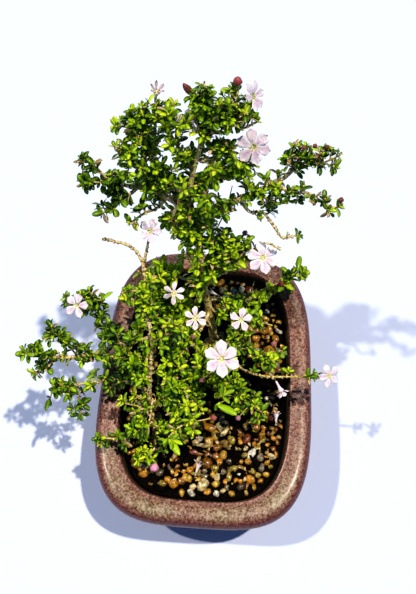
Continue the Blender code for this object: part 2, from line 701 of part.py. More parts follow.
def grow_leaves(name, pieces, routes, rng, around, first):
    """Adds side shoots and leaves along the routes, leaving out each one that would cross another node."""
    shoots = grow_shoots(name, pieces, routes, rng, around, first)
    starts = [first] * len(routes) + [SHOOT_LENGTH] * len(shoots)
    count = 0
    for route, start in zip(routes + shoots, starts):
        for point, heading, axis, scale in leaf_candidates(route, rng, start):
            up = axis + Vector((0, 0, 0.8))
            size = scale * rng.uniform(0.85, 1.1)
            length, width = LEAF_LENGTH * size, LEAF_WIDTH * size
            shape = blade_mesh(point, heading, up, length, width, LEAF_THICKNESS, LEAF_OUTLINE)
            if not around.crosses(name, *shape):
                blade_object(pieces, "%s_leaf_%d" % (name, count), *shape)
                around.add_shape(name, *shape)
                count += 1
    return count


def stalk_ends():
    """For each bloom and bud: what bears it, the foot of its own solid, and the way it points."""
    for carrier, centre, facing, _, _ in FLOWERS.values():
        axis = Vector(facing).normalized()
        yield carrier, vector(centre) - axis * FLOWER_TUBE_LENGTH, axis
    for carrier, centre, facing, _, length in BUDS.values():
        axis = Vector(facing).normalized()
        yield carrier, vector(centre) - axis * (length * MM), axis


def stalks(name, routes):
    """Stalks from the nearest twig of a spray to a 0.3 mm seat under each bloom and bud that it bears."""
    found = []
    for carrier, foot, axis in stalk_ends():
        if carrier != name:
            continue
        bend = foot - axis * STALK_STRAIGHT
        starts = [nearest_on(route, bend) for route in routes]
        start, along, _ = min(starts, key=lambda near: (near[0] - bend).length)
        found.append([start - along * (0.8 * MM), bend, foot - axis * GAP])
    return found


def make_twigs(name, parts, entry, wood, material, around):
    """The bare twigs of a spray: the first is the spray's own object, the others wait in a collection."""
    carrier, radius, routes = entry
    routes = [[vector(p) for p in route] for route in routes]
    carrier_route = [vector(p) for p in wood[carrier][2]]
    nearest, _, _ = nearest_on(carrier_route, routes[0][0])
    routes[0] = clear_start(routes[0], carrier_route, radius_at(wood[carrier], nearest), radius * MM)
    spray = tube(parts, name, routes[0], radius * MM, TWIG_TIP_RADIUS, sides=4)
    spray.data.materials.append(material)
    pieces = make_collection(name + "_pieces")
    around.add(name, spray)
    for i, route in enumerate(routes[1:]):
        twig = tube(pieces, "%s_twig_%d" % (name, i), route, SIDE_TWIG_RADIUS, TWIG_TIP_RADIUS, sides=4)
        around.add(name, twig)
    add_stalks(name, pieces, routes, around)
    return spray, pieces, routes


def add_stalks(name, pieces, routes, around):
    for i, route in enumerate(stalks(name, routes)):
        stalk = tube(pieces, "%s_stalk_%d" % (name, i), route, STALK_RADIUS, STALK_RADIUS, sides=4)
        around.add(name, stalk)


def make_flower(name, parts, entry, material, around):
    """A salver-shaped bloom: a narrow tube that opens into spreading petals."""
    _, centre, facing, radius, petals = entry
    centre, axis = vector(centre), Vector(facing).normalized()
    radius = radius * MM
    return build_flower(name, parts, centre, axis, radius, petals, material, around)


def build_flower(name, parts, centre, axis, radius, petals, material, around):
    foot = centre - axis * FLOWER_TUBE_LENGTH
    throat = centre - axis * (0.35 * FLOWER_TUBE_LENGTH)
    body = tube(parts, name, [foot, throat, centre + axis * (0.5 * MM)], *FLOWER_TUBE_RADII, sides=4)
    body.data.materials.append(material)
    pieces = make_collection(name + "_petals")
    length, width = radius - PETAL_START, radius * PETAL_BREADTH
    for i in range(petals):
        out = perpendicular(axis, 2 * math.pi * i / petals)
        heading = out + axis * 0.12
        base = centre + out * PETAL_START
        shape = blade_mesh(base, heading, axis, length, width, PETAL_THICKNESS, PETAL_OUTLINE)
        blade_object(pieces, "%s_petal_%d" % (name, i), *shape)
    join_collection(body, pieces)
    around.add(name, body)
    return body


def make_fallen(name, parts, entry, material, around):
    """A dropped bloom that lies on its side, on the soil and between the pebbles."""
    (x, y), (heading_x, heading_y), radius, petals = entry
    axis = Vector((heading_x, heading_y, 0.0)).normalized()
    centre = Vector((x * MM, y * MM, 0.0))
    body = build_flower(name, parts, centre, axis, radius * MM, petals, material, Surroundings())
    points = [v.co.copy() for v in body.data.vertices]
    lift = max(around.height_below(p) - p.z for p in points) + GAP
    for vert in body.data.vertices:
        vert.co.z += lift
    around.add(name, body)
    return body


def make_bud(name, parts, entry, material, around):
    """A closed bud on a short stalk."""
    _, centre, facing, radius, length = entry
    axis = Vector(facing).normalized()
    centre = vector(centre)
    radius, length = radius * MM, length * MM
    stretch = Matrix.Translation(centre) @ axis.to_track_quat("Z", "Y").to_matrix().to_4x4()
    stretch = stretch @ Matrix.Diagonal((radius, radius, length, 1.0))

    def build(bm):
        bmesh.ops.create_uvsphere(bm, u_segments=7, v_segments=5, radius=1.0)
    body = primitive(parts, name, build, stretch)
    body.data.materials.append(material)
    around.add(name, body)
    return body


def clear_scene():
    for obj in list(bpy.data.objects):
        bpy.data.objects.remove(obj)


def main():
    clear_scene()
    parts = make_collection("serissa_bonsai")
    helpers = make_collection("cutters")
    materials = make_materials()
    around = Surroundings()
    around.add_with_modifiers("pot", make_pot(parts, helpers, materials["glaze"]))
    make_screens(parts, materials["screen"])
    around.add_with_modifiers("soil", make_soil(parts, helpers, materials["soil"], random.Random(11)))

    wood = {"trunk": TRUNK, "second_stem": SECOND_STEM, **LIMBS, **PRONGS}
    trunk = make_wood("trunk", parts, TRUNK, LIMBS, materials["bark"])
    around.add("trunk", trunk)
    shoots = {"shoot_%d" % i: (0.8, 0.6, route) for i, route in enumerate(STEM_SHOOTS)}
    stem = make_wood("second_stem", parts, SECOND_STEM, {**PRONGS, **shoots}, materials["bark"])
    around.add("second_stem", stem)

    for name, entry in FLOWERS.items():
        make_flower(name, parts, entry, materials["petal"], around)
    for name, entry in FALLEN_FLOWERS.items():
        make_fallen(name, parts, entry, materials["petal"], around)
    for name, entry in BUDS.items():
        make_bud(name, parts, entry, materials["bud"], around)

    sprays = {}
    for name, entry in SPRAYS.items():
        sprays[name] = make_twigs(name, parts, entry, wood, materials["leaf"], around)
    stem_pieces = make_collection("second_stem_leaves")
    routes = [[vector(p) for p in route] for route in STEM_SHOOTS]
    prongs = [[vector(p) for p in route] for _, _, route in PRONGS.values()]
    add_stalks("second_stem", stem_pieces, routes + prongs, around)
    grow_leaves("second_stem", stem_pieces, routes, random.Random(5), around, FIRST_SHOOT_LEAF)
    join_collection(stem, stem_pieces)
    total = 0
    for index, (name, (spray, pieces, routes)) in enumerate(sprays.items()):
        total += grow_leaves(name, pieces, routes, random.Random(100 + index), around, FIRST_LEAF)
        join_collection(spray, pieces)
    print("leaves on sprays:", total)


main()
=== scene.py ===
"""Looks of the serissa bonsai: fine foliage, blooms, bark, glaze and pebbles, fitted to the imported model.

Metres, +Z up, the viewer at -Y. Routes and places are in millimetres above the pot's underside, as in the
part's own source. Every piece rides on the one body. Each one replaces the solid that it refines, apart from
the pebbles and the litter, which add to the soil.
"""
import math
import random

import bpy
from mathutils import Matrix, Vector, noise


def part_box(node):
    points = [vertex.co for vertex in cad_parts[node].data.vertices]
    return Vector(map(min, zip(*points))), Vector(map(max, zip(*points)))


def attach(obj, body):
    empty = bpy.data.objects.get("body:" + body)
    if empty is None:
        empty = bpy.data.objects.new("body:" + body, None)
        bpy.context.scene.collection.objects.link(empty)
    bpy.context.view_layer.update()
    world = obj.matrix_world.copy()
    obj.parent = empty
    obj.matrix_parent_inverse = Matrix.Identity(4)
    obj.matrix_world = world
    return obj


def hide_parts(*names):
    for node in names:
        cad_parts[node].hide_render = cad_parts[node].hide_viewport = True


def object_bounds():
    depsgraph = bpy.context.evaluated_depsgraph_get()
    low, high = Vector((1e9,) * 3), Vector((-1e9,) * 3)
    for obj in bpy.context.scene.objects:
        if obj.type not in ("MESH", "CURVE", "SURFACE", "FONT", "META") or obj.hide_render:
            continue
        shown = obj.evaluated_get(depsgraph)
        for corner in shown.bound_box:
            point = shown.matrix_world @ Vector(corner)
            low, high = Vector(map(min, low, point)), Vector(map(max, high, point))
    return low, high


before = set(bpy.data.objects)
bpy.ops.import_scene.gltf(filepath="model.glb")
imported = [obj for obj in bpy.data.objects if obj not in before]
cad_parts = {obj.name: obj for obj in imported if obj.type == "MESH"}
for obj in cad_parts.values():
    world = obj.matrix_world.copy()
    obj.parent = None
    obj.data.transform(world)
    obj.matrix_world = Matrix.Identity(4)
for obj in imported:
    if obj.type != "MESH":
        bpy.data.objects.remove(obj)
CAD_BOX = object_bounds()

MM = 0.001
UP = Vector((0, 0, 1))

# Camera: place and direction, and the photograph's frame in pixels
CAMERA_PLACE = Vector((8, -112, 365)) * MM
CAMERA_DOWN = math.radians(62.9)
CAMERA_YAW = math.radians(-3.7)
FOCAL_PIXELS = 584
PHOTO_WIDTH, PHOTO_HEIGHT = 416, 594
SENSOR = 36

# Light: travel direction, colour, strength and softness of each sun, and the pale blue of the sky
KEY_LIGHT = ((-0.36, -0.10, -1.0), (1.0, 0.91, 0.78), 3.0)
FILL_LIGHT = ((0.54, -0.07, -1.0), (1.0, 0.93, 0.82), 1.75)
SUN_SOFTNESS = math.radians(1.5)
SKY_COLOUR = (0.07, 0.15, 0.28)
BACKDROP_COLOUR = (0.93, 0.95, 0.98)
FLOOR_COLOUR = (0.66, 0.72, 0.92)
CONTRAST_LOOK = "High Contrast"
EXPOSURE = -0.5
FLOOR_HALF = 2.0
FLOOR_CORNERS = [(-1, -1), (1, -1), (1, 1), (-1, 1)]
FLOOR_DROP = 0.2 * MM

# Pot, as in the model. Its two outlines are insets and heights in millimetres
POT_HALF_WIDTH = 60 * MM
POT_HALF_LENGTH = 81.6 * MM
POT_HEIGHT = 50 * MM
POT_SQUARENESS = 3.6
POT_SIDES = 128
POT_FLOOR_Z = 7 * MM
POT_OUTSIDE = [(12.5, 0), (6, 30), (4.6, 38), (0.8, 41), (0, 43.5), (0.8, 47), (3.2, 49.4)]
POT_INSIDE = [(7, 50), (11, 48.8), (13.5, 45), (16.5, 14), (20, 7)]
POT_CREST_Z = 49.3 * MM
POT_CREST_INSET = 5 * MM
# Zones of the glaze in millimetres: the height, inset or distance where each starts, and its fading width
CREST_LEVEL = (47, 2.2)
CREST_MIDDLE = (7, 5.4)
CREST_GAIN = 1.5
NEAR_END = (30, 40)
NEAR_LEAST = 0.15
# Outer margin of the rim, darkened in the glaze: partly its own dark red, partly painted shade of the rolled
# lip
SHADED_OUTER_EDGE = (3.4, 2.2)
INNER_WALL = (12.2, 1.5)
LIP_LOW, LIP_HIGH = 40.0 * MM, 42.2 * MM
FOOT_HIGH = 2.5 * MM
POT_SHARPNESS = math.radians(40)
DRAIN_RADIUS = 7 * MM
DRAIN_Y = 38 * MM
DRAIN_GROOVE_WIDTH = 9 * MM
DRAIN_GROOVE_DEPTH = 2 * MM
SCREEN_SIDE = 22 * MM
SCREEN_THICKNESS = 0.8 * MM
SCREEN_BARS = 10
SCREEN_BAR_PART = 0.45
GAP = 0.3 * MM

# Soil and pebbles
SOIL_WALL = [(20.5, 7.3), (16.9, 14), (14.3, 41)]
SOIL_EDGE_Z = 41 * MM
SOIL_CROWN = 2.5 * MM
SOIL_RINGS = 46
SOIL_BUMP = 1.1 * MM
SOIL_LUMPS, SOIL_GRAIN, SOIL_GRAIN_PART = 300, 900, 0.6
# Insets from the rim: where the soil meets the wall, the wall's inner face, and what loose things keep to
SOIL_INSET = 14 * MM
WALL_INSET = 15 * MM
PEBBLE_INSET = 15.5 * MM
DRAW_INSET = 16 * MM
LITTER_INSET = 17 * MM
CRUMB_COUNT = 1700
CRUMB_RADII = (0.5 * MM, 2.2 * MM)
PEBBLE_SHAPE = (10, 7)
PEBBLE_RADII = (1.0 * MM, 3.3 * MM)
PEBBLE_CROWDING = 0.82
PEBBLE_TRIES = 24
USUAL_PEBBLE = 1.6 * MM
# Length, breadth and height of a stone as parts of its radius, and how far its middle stands up
STONE_LENGTH, STONE_BREADTH, STONE_HEIGHT = (1.0, 1.5), (0.8, 1.1), (0.55, 0.85)
STONE_RISE = 0.4
PEBBLE_LUMPS = 0.34
CRUMB_LUMPS = 0.5
# Patches of pebbles: middle and reach in the photograph's pixels, and how many stones
PEBBLE_PATCHES = [
    ((266, 446), 30, 130), ((240, 470), 44, 110), ((205, 430), 26, 50), ((165, 482), 30, 40),
    ((128, 462), 16, 14), ((262, 310), 34, 60), ((228, 288), 24, 34), ((272, 350), 24, 40),
    ((150, 430), 36, 24), ((275, 405), 20, 20), ((215, 320), 30, 16), ((135, 380), 40, 18)]
STONE_COLOURS = [
    ((0.58, 0.28, 0.010), 8), ((0.34, 0.14, 0.008), 4), ((0.68, 0.42, 0.05), 7), ((0.52, 0.34, 0.10), 4),
    ((0.72, 0.58, 0.30), 4), ((0.84, 0.80, 0.68), 2), ((0.24, 0.20, 0.13), 3), ((0.05, 0.04, 0.03), 2),
    ((0.22, 0.05, 0.02), 3), ((0.38, 0.29, 0.04), 5)]
TURQUOISE = (0.0, 0.30, 0.42)
TURQUOISE_PIXEL = (234, 291)

# Wood: radius at base and tip, then the route
TRUNK = (2.7, 0.9, [
    (-2, 19, 32), (-2, 19, 46), (2, 20, 54), (1, 25, 66), (-2, 32, 80), (-4, 36, 91), (-5, 41, 104),
    (-8, 48, 116), (-11, 54, 129), (-12, 57, 139), (-10, 63, 151), (-7, 68, 162), (-5, 75, 172),
    (-6, 78, 178)])
LIMBS = {
    "limb_right": (1.6, 1.2, [(-8, 48, 116), (1, 56, 128), (12, 59, 135), (23, 63, 140), (32, 66, 144)]),
    "limb_left": (1.5, 1.1, [(-11, 54, 129), (-23, 59, 134), (-31, 60, 138), (-41, 60, 140)]),
    "limb_back": (1.3, 0.9, [(-12, 57, 139), (-22, 63, 143), (-31, 71, 154)]),
    "limb_low": (1.5, 1.0, [(-2, 19, 48), (-1, 10, 54), (-4, 0, 59)]),
}
SECOND_STEM = (1.3, 0.9, [
    (-25, -43, 32), (-25, -43, 45), (-26, -34, 51), (-28, -24, 62), (-29, -16, 72), (-28, 1, 87),
    (-30, 10, 94), (-32, 23, 102), (-35, 37, 108)])
PRONGS = {
    "prong_long": (0.9, 0.6, [
        (-35, 37, 108), (-39, 42, 111), (-44, 44, 113), (-50, 45, 114), (-56, 45, 115)]),
    "prong_short": (0.8, 0.6, [(-34, 37, 108), (-33, 41, 113), (-32, 46, 117)]),
}
STEM_SHOOTS = [
    [(-26, -36, 50), (-18, -36, 55), (-10, -34, 59)],
    [(-28, -26, 60), (-34, -26, 66), (-41, -26, 70)],
    [(-28, -24, 62), (-20, -21, 72), (-13, -18, 78)],
    [(-29, -14, 74), (-36, -8, 80), (-41, -2, 82)],
    [(-28, 1, 87), (-21, 4, 92), (-14, 8, 96)],
    [(-31, 16, 98), (-37, 18, 101), (-43, 21, 102)],
    [(-25, -42, 46), (-28, -48, 49), (-33, -51, 51)],
]
# Leafy sprays: base radius, then the routes of the twigs
SPRAYS = {
    "spray_right_upper": (1.1, [
        [(32, 66, 144), (40, 71, 149), (45, 71, 152), (51, 73, 157)], [(40, 71, 149), (38, 75, 157)]]),
    "spray_right_tip": (0.9, [[(29, 65, 143), (36, 60, 141), (44, 60, 142), (54, 53, 142), (58, 52, 143)]]),
    "spray_right_hanging": (0.9, [
        [(12, 59, 135), (18, 55, 131), (24, 56, 130), (32, 49, 124), (35, 47, 122), (42, 49, 123)]]),
    "spray_right_rosette": (0.8, [[(20, 62, 139), (28, 58, 136), (35, 57, 138)]]),
    "spray_rim": (1.0, [
        [(-5, 41, 104), (4, 48, 111), (11, 51, 112), (19, 47, 107), (24, 45, 104)],
        [(19, 47, 107), (27, 50, 112), (34, 48, 110)]]),
    "spray_corner": (1.1, [[(-2, 32, 80), (13, 37, 74), (29, 46, 68), (42, 52, 70), (50, 57, 74)]]),
    "spray_twig": (1.0, [[(2, 20, 56), (14, 5, 58), (28, -4, 64), (45, -6, 70), (57, -6, 73)]]),
    "spray_left_high": (1.1, [
        [(-29, 4, 89), (-44, 3, 80), (-54, 9, 77), (-61, 23, 78), (-66, 31, 84)],
        [(-61, 23, 78), (-69, 24, 80), (-78, 27, 83)]]),
    "spray_left_middle": (1.1, [
        [(-29, -8, 79), (-44, -2, 71), (-58, 0, 69), (-68, -4, 76), (-76, -7, 80), (-85, -7, 84),
         (-93, -7, 88)],
        [(-68, -4, 76), (-74, 1, 82), (-82, 5, 87)], [(-76, -7, 80), (-84, -11, 77), (-89, -15, 76)]]),
    "spray_left_low": (1.1, [
        [(-29, -18, 69), (-44, -12, 64), (-54, -12, 63), (-64, -15, 65), (-79, -19, 69)],
        [(-69, -17, 66), (-67, -23, 59), (-66, -30, 56)]]),
    "spray_left_sprig": (0.9, [[(-26, -30, 54), (-38, -40, 56), (-49, -42, 58), (-54, -43, 58)]]),
    "spray_crown_left": (1.0, [
        [(-41, 60, 140), (-49, 59, 144), (-56, 63, 149), (-61, 65, 152)],
        [(-49, 59, 144), (-57, 59, 145), (-62, 58, 146)]]),
    "spray_crown_hanging": (0.9, [[(-37, 60, 139), (-43, 55, 137), (-50, 53, 134), (-54, 50, 130)]]),
    "spray_crown_low": (0.9, [[(-23, 59, 134), (-28, 56, 129), (-34, 54, 127), (-41, 50, 124)]]),
    "spray_crown_side": (0.9, [
        [(-17, 57, 131), (-22, 62, 138), (-33, 66, 147), (-41, 68, 152), (-47, 69, 157)]]),
    "spray_crown_back": (0.9, [
        [(-31, 71, 154), (-38, 75, 160), (-44, 78, 164)], [(-34, 73, 157), (-35, 76, 163), (-35, 79, 169)]]),
    "spray_crown_inner": (0.9, [[(-10, 63, 151), (-17, 69, 158), (-23, 75, 166), (-27, 80, 172)]]),
    "spray_apex": (0.9, [
        [(-6, 78, 178), (-6, 80, 183), (-6, 81, 187)], [(-6, 79, 180), (-10, 78, 182)]]),
    "spray_crown_right": (0.9, [
        [(-7, 68, 162), (0, 73, 168), (5, 78, 174), (8, 82, 179)],
        [(0, 73, 168), (8, 76, 171), (13, 79, 174)]]),
    "spray_crown_front": (1.0, [[(-9, 65, 155), (3, 68, 156), (13, 74, 160), (20, 80, 164)]]),
    "spray_crown_flower": (0.9, [[(-12, 58, 142), (-2, 62, 146), (9, 66, 149), (15, 70, 152)]]),
    "spray_shoulder": (0.9, [[(-7, 46, 113), (-14, 49, 119), (-21, 53, 125)]]),
    "spray_neck": (0.9, [[(-4, 37, 94), (5, 38, 98), (11, 40, 104), (13, 41, 110)]]),
    "spray_low_left": (0.9, [[(-3, 34, 86), (-11, 38, 88), (-22, 41, 91), (-30, 45, 94)]]),
    "spray_mid_left": (1.0, [[(1, 24, 63), (-10, 24, 70), (-20, 27, 76), (-26, 33, 82)]]),
    "spray_middle": (1.0, [[(0, 28, 73), (-4, 16, 76), (-10, 5, 78), (-14, -3, 82)]]),
    "spray_heart": (1.0, [
        [(-3, 3, 58), (3, 2, 66), (7, -3, 76), (8, -8, 88)],
        [(3, 2, 66), (13, 4, 70), (18, 12, 72), (17, 19, 74)]]),
    "spray_front": (1.0, [
        [(-4, 0, 59), (-8, -11, 62), (-6, -22, 68), (-6, -34, 71)],
        [(-8, -11, 62), (-15, -19, 66), (-16, -29, 68)]]),
    "spray_front_right": (1.0, [[(-2, 8, 55), (8, -7, 60), (19, -17, 62), (31, -24, 62)]]),
    "spray_right_back": (0.9, [[(-1, 30, 76), (11, 24, 72), (23, 26, 70), (34, 24, 69)]]),
    "spray_right_low": (1.0, [[(2, 21, 57), (17, 14, 60), (30, 9, 64), (41, 10, 67)]]),
}
# Looks of a spray: mean tint from dark to lime, leaf length, shoot spacing, first shoot and shoot length
USUAL_LOOK = (0.60, 5.0, 2.9, 3.0, 9.0)
SPRAY_LOOKS = {
    "spray_right_upper": (0.36, 4.4, 3.2, 6.0, 6.0),
    "spray_right_tip": (0.34, 4.4, 3.6, 8.0, 5.5),
    "spray_right_hanging": (0.42, 4.6, 5.5, 10.0, 5.5),
    "spray_right_rosette": (0.36, 4.6, 3.4, 6.0, 6.0),
    "spray_rim": (0.46, 4.8, 3.4, 4.0, 7.0),
    "spray_corner": (0.62, 6.8, 4.2, 12.0, 8.0),
    "spray_twig": (0.52, 4.8, 9.0, 24.0, 4.5),
    "spray_crown_left": (0.34, 5.0, 2.6, 2.0, 8.0),
    "spray_crown_hanging": (0.28, 5.6, 3.0, 5.0, 6.0),
    "spray_crown_back": (0.57, 4.7, 2.6, 2.0, 9.0),
    "spray_crown_side": (0.57, 4.7, 2.6, 2.0, 9.0),
    "spray_crown_inner": (0.65, 4.7, 2.6, 2.0, 9.0),
    "spray_crown_low": (0.57, 4.8, 2.8, 2.0, 8.0),
    "spray_crown_right": (0.60, 4.6, 2.6, 2.0, 8.0),
    "spray_crown_front": (0.64, 4.7, 2.8, 2.0, 8.0),
    "spray_left_high": (0.36, 5.4, 3.6, 6.0, 7.0),
    "spray_left_middle": (0.42, 4.8, 3.4, 8.0, 7.0),
    "spray_left_low": (0.42, 5.2, 3.6, 8.0, 7.0),
    "spray_left_sprig": (0.42, 4.8, 3.6, 8.0, 6.0),
    "spray_apex": (0.46, 4.7, 2.6, 1.0, 5.5),
    "spray_mid_left": (0.66, 5.8, 3.0, 2.0, 9.0),
    "spray_low_left": (0.64, 5.6, 3.0, 2.0, 8.0),
    "spray_middle": (0.62, 5.2, 2.9, 2.0, 9.0),
    "spray_shoulder": (0.66, 5.6, 3.0, 2.0, 8.0),
    "spray_neck": (0.72, 5.6, 3.0, 2.0, 8.0),
}
TRUNK_LOOK = (0.66, 5.2, 3.2, 52.0, 9.0)
LIMB_LOOK = (0.54, 4.8, 4.0, 4.0, 7.0)
STEM_LOOK = (0.60, 5.0, 3.8, 12.0, 8.0)
# Further thin twigs of a spray: across and down in the photograph's pixels, and height in millimetres
EXTRA_TWIGS = {
    "spray_mid_left": [
        ((175, 318, 70), (150, 300, 76)), ((165, 335, 66), (140, 325, 70)),
        ((186, 300, 74), (170, 296, 76))],
    "spray_low_left": [((165, 270, 92), (150, 285, 88))],
    "spray_middle": [((185, 345, 78), (170, 360, 74)), ((175, 385, 72), (165, 400, 68))],
    "spray_front": [
        ((190, 420, 68), (175, 430, 66)), ((150, 400, 66), (135, 395, 68)),
        ((148, 425, 62), (136, 432, 62))],
    "spray_heart": [((225, 385, 70), (240, 395, 70)), ((205, 365, 74), (190, 378, 74))],
    "spray_right_low": [((255, 350, 66), (270, 365, 66))],
    "spray_right_back": [((240, 300, 72), (255, 290, 74))],
    "spray_neck": [
        ((215, 240, 110), (195, 235, 112)), ((225, 255, 100), (240, 262, 98)),
        ((200, 262, 96), (182, 258, 98))],
    "spray_shoulder": [((180, 215, 118), (165, 222, 116))],
    "spray_crown_front": [
        ((210, 170, 150), (225, 180, 146)), ((235, 165, 150), (250, 178, 146)),
        ((228, 155, 158), (246, 158, 156)), ((240, 170, 150), (254, 166, 150))],
    "spray_crown_inner": [((195, 150, 158), (185, 165, 150)), ((176, 118, 172), (165, 128, 168))],
    "spray_crown_back": [
        ((160, 140, 152), (150, 155, 148)), ((150, 118, 164), (138, 124, 160)),
        ((140, 140, 156), (128, 148, 152))],
    "spray_crown_side": [((150, 170, 146), (160, 185, 140)), ((128, 160, 148), (118, 152, 150))],
    "spray_crown_right": [
        ((225, 120, 172), (240, 128, 170)), ((212, 145, 160), (222, 152, 158)),
        ((236, 104, 171), (251, 113, 167)), ((243, 128, 159), (257, 122, 162)),
        ((228, 112, 168), (236, 122, 164))],
    "spray_apex": [((205, 110, 176), (215, 125, 172))],
    "spray_crown_low": [((185, 200, 128), (175, 210, 126))],
    "spray_crown_flower": [((215, 205, 132), (232, 200, 134))],
    "spray_right_upper": [((318, 165, 152), (338, 156, 156)), ((296, 168, 150), (284, 158, 154))],
}

# Blooms: the spray or stem that bears it, centre of the face, the way it faces, radius and petals
FLOWERS = {
    "flower_middle": ("spray_heart", (8, -9, 98), (0.05, -0.45, 1.0), 8.4, 6),
    "flower_crown": ("spray_crown_flower", (17, 73, 157), (0.15, -0.55, 0.8), 8.0, 6),
    "flower_rim": ("spray_rim", (26, 43, 109), (0.15, -0.5, 0.9), 7.9, 6),
    "flower_left": ("spray_left_high", (-70, 20, 88), (-0.15, -0.5, 0.9), 6.4, 5),
    "flower_top": ("spray_crown_right", (15, 82, 179), (0.75, -0.35, 0.6), 6.4, 6),
    "flower_twig": ("spray_twig", (64, -7, 78), (0.45, -0.45, 0.8), 6.4, 5),
    "flower_shade": ("spray_heart", (17, 20, 82), (0.1, -0.4, 0.9), 6.0, 5),
    "flower_narrow": ("spray_mid_left", (-19, 28, 93), (0.0, -0.4, 0.9), 5.8, 6),
    "flower_stem": ("spray_middle", (-7, 17, 87), (0.1, -0.4, 0.9), 5.8, 6),
    "flower_prong": ("second_stem", (-31, 47, 122), (-0.2, -0.45, 0.85), 6.0, 5),
    "flower_faded": ("spray_crown_inner", (-27, 82, 179), (0.2, -0.2, 1.0), 4.8, 6),
    "flower_hidden": ("spray_crown_inner", (-13, 73, 171), (0.1, -0.5, 0.8), 5.5, 5),
    "flower_hanging": ("spray_twig", (41, -11, 61), (0.4, -0.55, -0.4), 4.2, 5),
}
# How far each kind of bloom opens: rise of the lobes, recurve of their tips, breadth of a lobe
USUAL_BLOOM = (0.14, 0.12, 0.32)
BLOOM_SCALE = 1.12
BLOOM_FORMS = {
    "flower_narrow": (0.10, 0.16, 0.22),
    "flower_stem": (0.10, 0.12, 0.26),
    "flower_faded": (0.80, -0.10, 0.15),
    "flower_prong": (0.35, 0.10, 0.34),
    "flower_top": (0.40, 0.20, 0.28),
    "flower_hanging": (1.00, 0.25, 0.30),
}
FALLEN_FLOWERS = {
    "fallen_trumpet": ((40, -20), (0.0, 1.0), 3.6, 5),
    "fallen_small": ((-1, 55), (-0.8, 0.4), 3.2, 5),
    "fallen_dried": ((-1, -50), (0.2, 0.8), 4.0, 4),
}
FALLEN_FORM = (0.75, 0.10, 0.22)
# How far a bloom has browned, where it isn't fresh
FADED = {"flower_faded": 0.45, "fallen_trumpet": 0.1, "fallen_small": 0.1, "fallen_dried": 0.55}
FLOWER_TUBE_LENGTH = 6 * MM
# Buds: what bears it, its centre, the way it points, its radius and half its length
BUDS = {
    "bud_long": ("spray_apex", (-13, 79, 184), (-0.55, 0.1, 0.8), 1.5, 3.6),
    "bud_round": ("spray_crown_right", (8, 84, 185), (0.1, 0.3, 1.0), 2.0, 2.2),
    "bud_brown": ("spray_corner", (39, 47, 75), (0.0, -0.4, 1.0), 1.9, 2.1),
    "bud_pink": ("second_stem", (-24, -54, 51), (0.3, -0.5, 0.7), 2.4, 2.7),
}
BUD_PETALS, BUD_FOLD, BUD_TWIST, BUD_FULLNESS = 5, 0.10, 0.9, 0.7
BUD_TINTS = {"bud_long": 0.2, "bud_round": 0.45, "bud_brown": 0.3, "bud_pink": 1.0}
# Small buds: pixel in the photograph, height in millimetres, radius, tint and the spray that bears each
SMALL_BUDS = [
    ((245, 233), 116, 1.4, 0.6, "spray_rim"), ((304, 148), 163, 1.1, 0.2, "spray_right_upper"),
    ((315, 146), 164, 1.1, 0.25, "spray_right_upper"), ((327, 147), 160, 1.1, 0.2, "spray_right_upper"),
    ((341, 200), 146, 1.3, 0.15, "spray_right_tip"), ((274, 344), 76, 1.6, 0.6, "spray_right_low"),
    ((193, 337), 84, 1.4, 0.7, "spray_middle"), ((238, 418), 72, 1.4, 0.8, "spray_front_right"),
    ((214, 418), 76, 1.4, 0.5, "spray_front"), ((202, 380), 84, 1.3, 0.6, "spray_heart"),
]
# Single larger leaves that stand out: foot and tip pixels in the photograph, height, tint and the spray
LARGE_LEAVES = [
    ((216, 405), (236, 414), 78, 0.66, "spray_front_right"),
    ((222, 396), (234, 390), 80, 0.60, "spray_front_right"),
    ((168, 438), (179, 454), 70, 0.74, "spray_front"),
    ((172, 440), (182, 444), 71, 0.78, "spray_front"),
    ((297, 272), (300, 256), 84, 0.62, "spray_corner"),
    ((87, 170), (82, 182), 146, 0.66, "spray_crown_left"),
    ((148, 104), (154, 94), 170, 0.80, "spray_crown_back"),
    ((184, 128), (182, 116), 168, 0.60, "spray_crown_inner"),
    ((176, 142), (178, 130), 160, 0.66, "spray_crown_inner"),
    ((50, 398), (46, 410), 62, 0.35, "spray_left_low"),
    ((52, 326), (44, 322), 90, 0.40, "spray_left_middle"),
    ((102, 300), (112, 292), 90, 0.66, "spray_left_high"),
    ((236, 332), (240, 318), 88, 0.66, "spray_heart"),
    ((222, 218), (236, 222), 116, 0.80, "spray_neck"),
]
LARGE_LEAF_BREADTH = 0.33

# Leaf outline: part of the length, and part of the half width there
LEAF_STATIONS = [(0.12, 0.36), (0.33, 0.82), (0.58, 1.0), (0.80, 0.84), (0.94, 0.46)]
LEAF_THICKNESS = 0.12 * MM
LEAF_SPREAD = 0.17
LEAF_LENGTH = (0.75, 1.15)
LEAF_BREADTH = (0.44, 0.58)
LEAF_FOLD = (0.1, 0.35)
LEAF_DROOP = (0.05, 0.25)
LEAF_ARCH = 0.12
LIME_TINT = 0.86
BUD_TINT = 0.90
DRY_SHARE = 0.08
DRY_TINT = 0.94
DRY_NARROWING = 0.7
DRY_CURL = 3.0
PAIR_SPACING = (1.8, 2.8)
BRANCHING = 0.4
NUB_SPACING = 2.4 * MM
NUB_PART = 0.9
NUB_LUMPS = 0.5
# Share of the places along a twig that bear a pair of leaves or a bare side twig, and of buds in rosettes
PAIR_SHARE = 0.5
BARE_SHARE = 0.3
ROSETTE_BUD_SHARE = 0.5
# A pair of leaves: its random swing, lift and roll, and the length of its stalks
PAIR_SWING, PAIR_LIFT, PAIR_ROLL = (-0.3, 0.3), (0.05, 0.4), (-0.2, 0.1)
PAIR_STALK = 0.15 * MM
# A shoot: how far it bends up, its change of tint, its first pair, and its fork's place and length
UPWARD_BEND = 0.45
SHOOT_SPREAD = 0.07
FIRST_PAIR = (1.2, 2.0)
FORK_PLACE, FORK_LENGTH = 0.35, 0.7
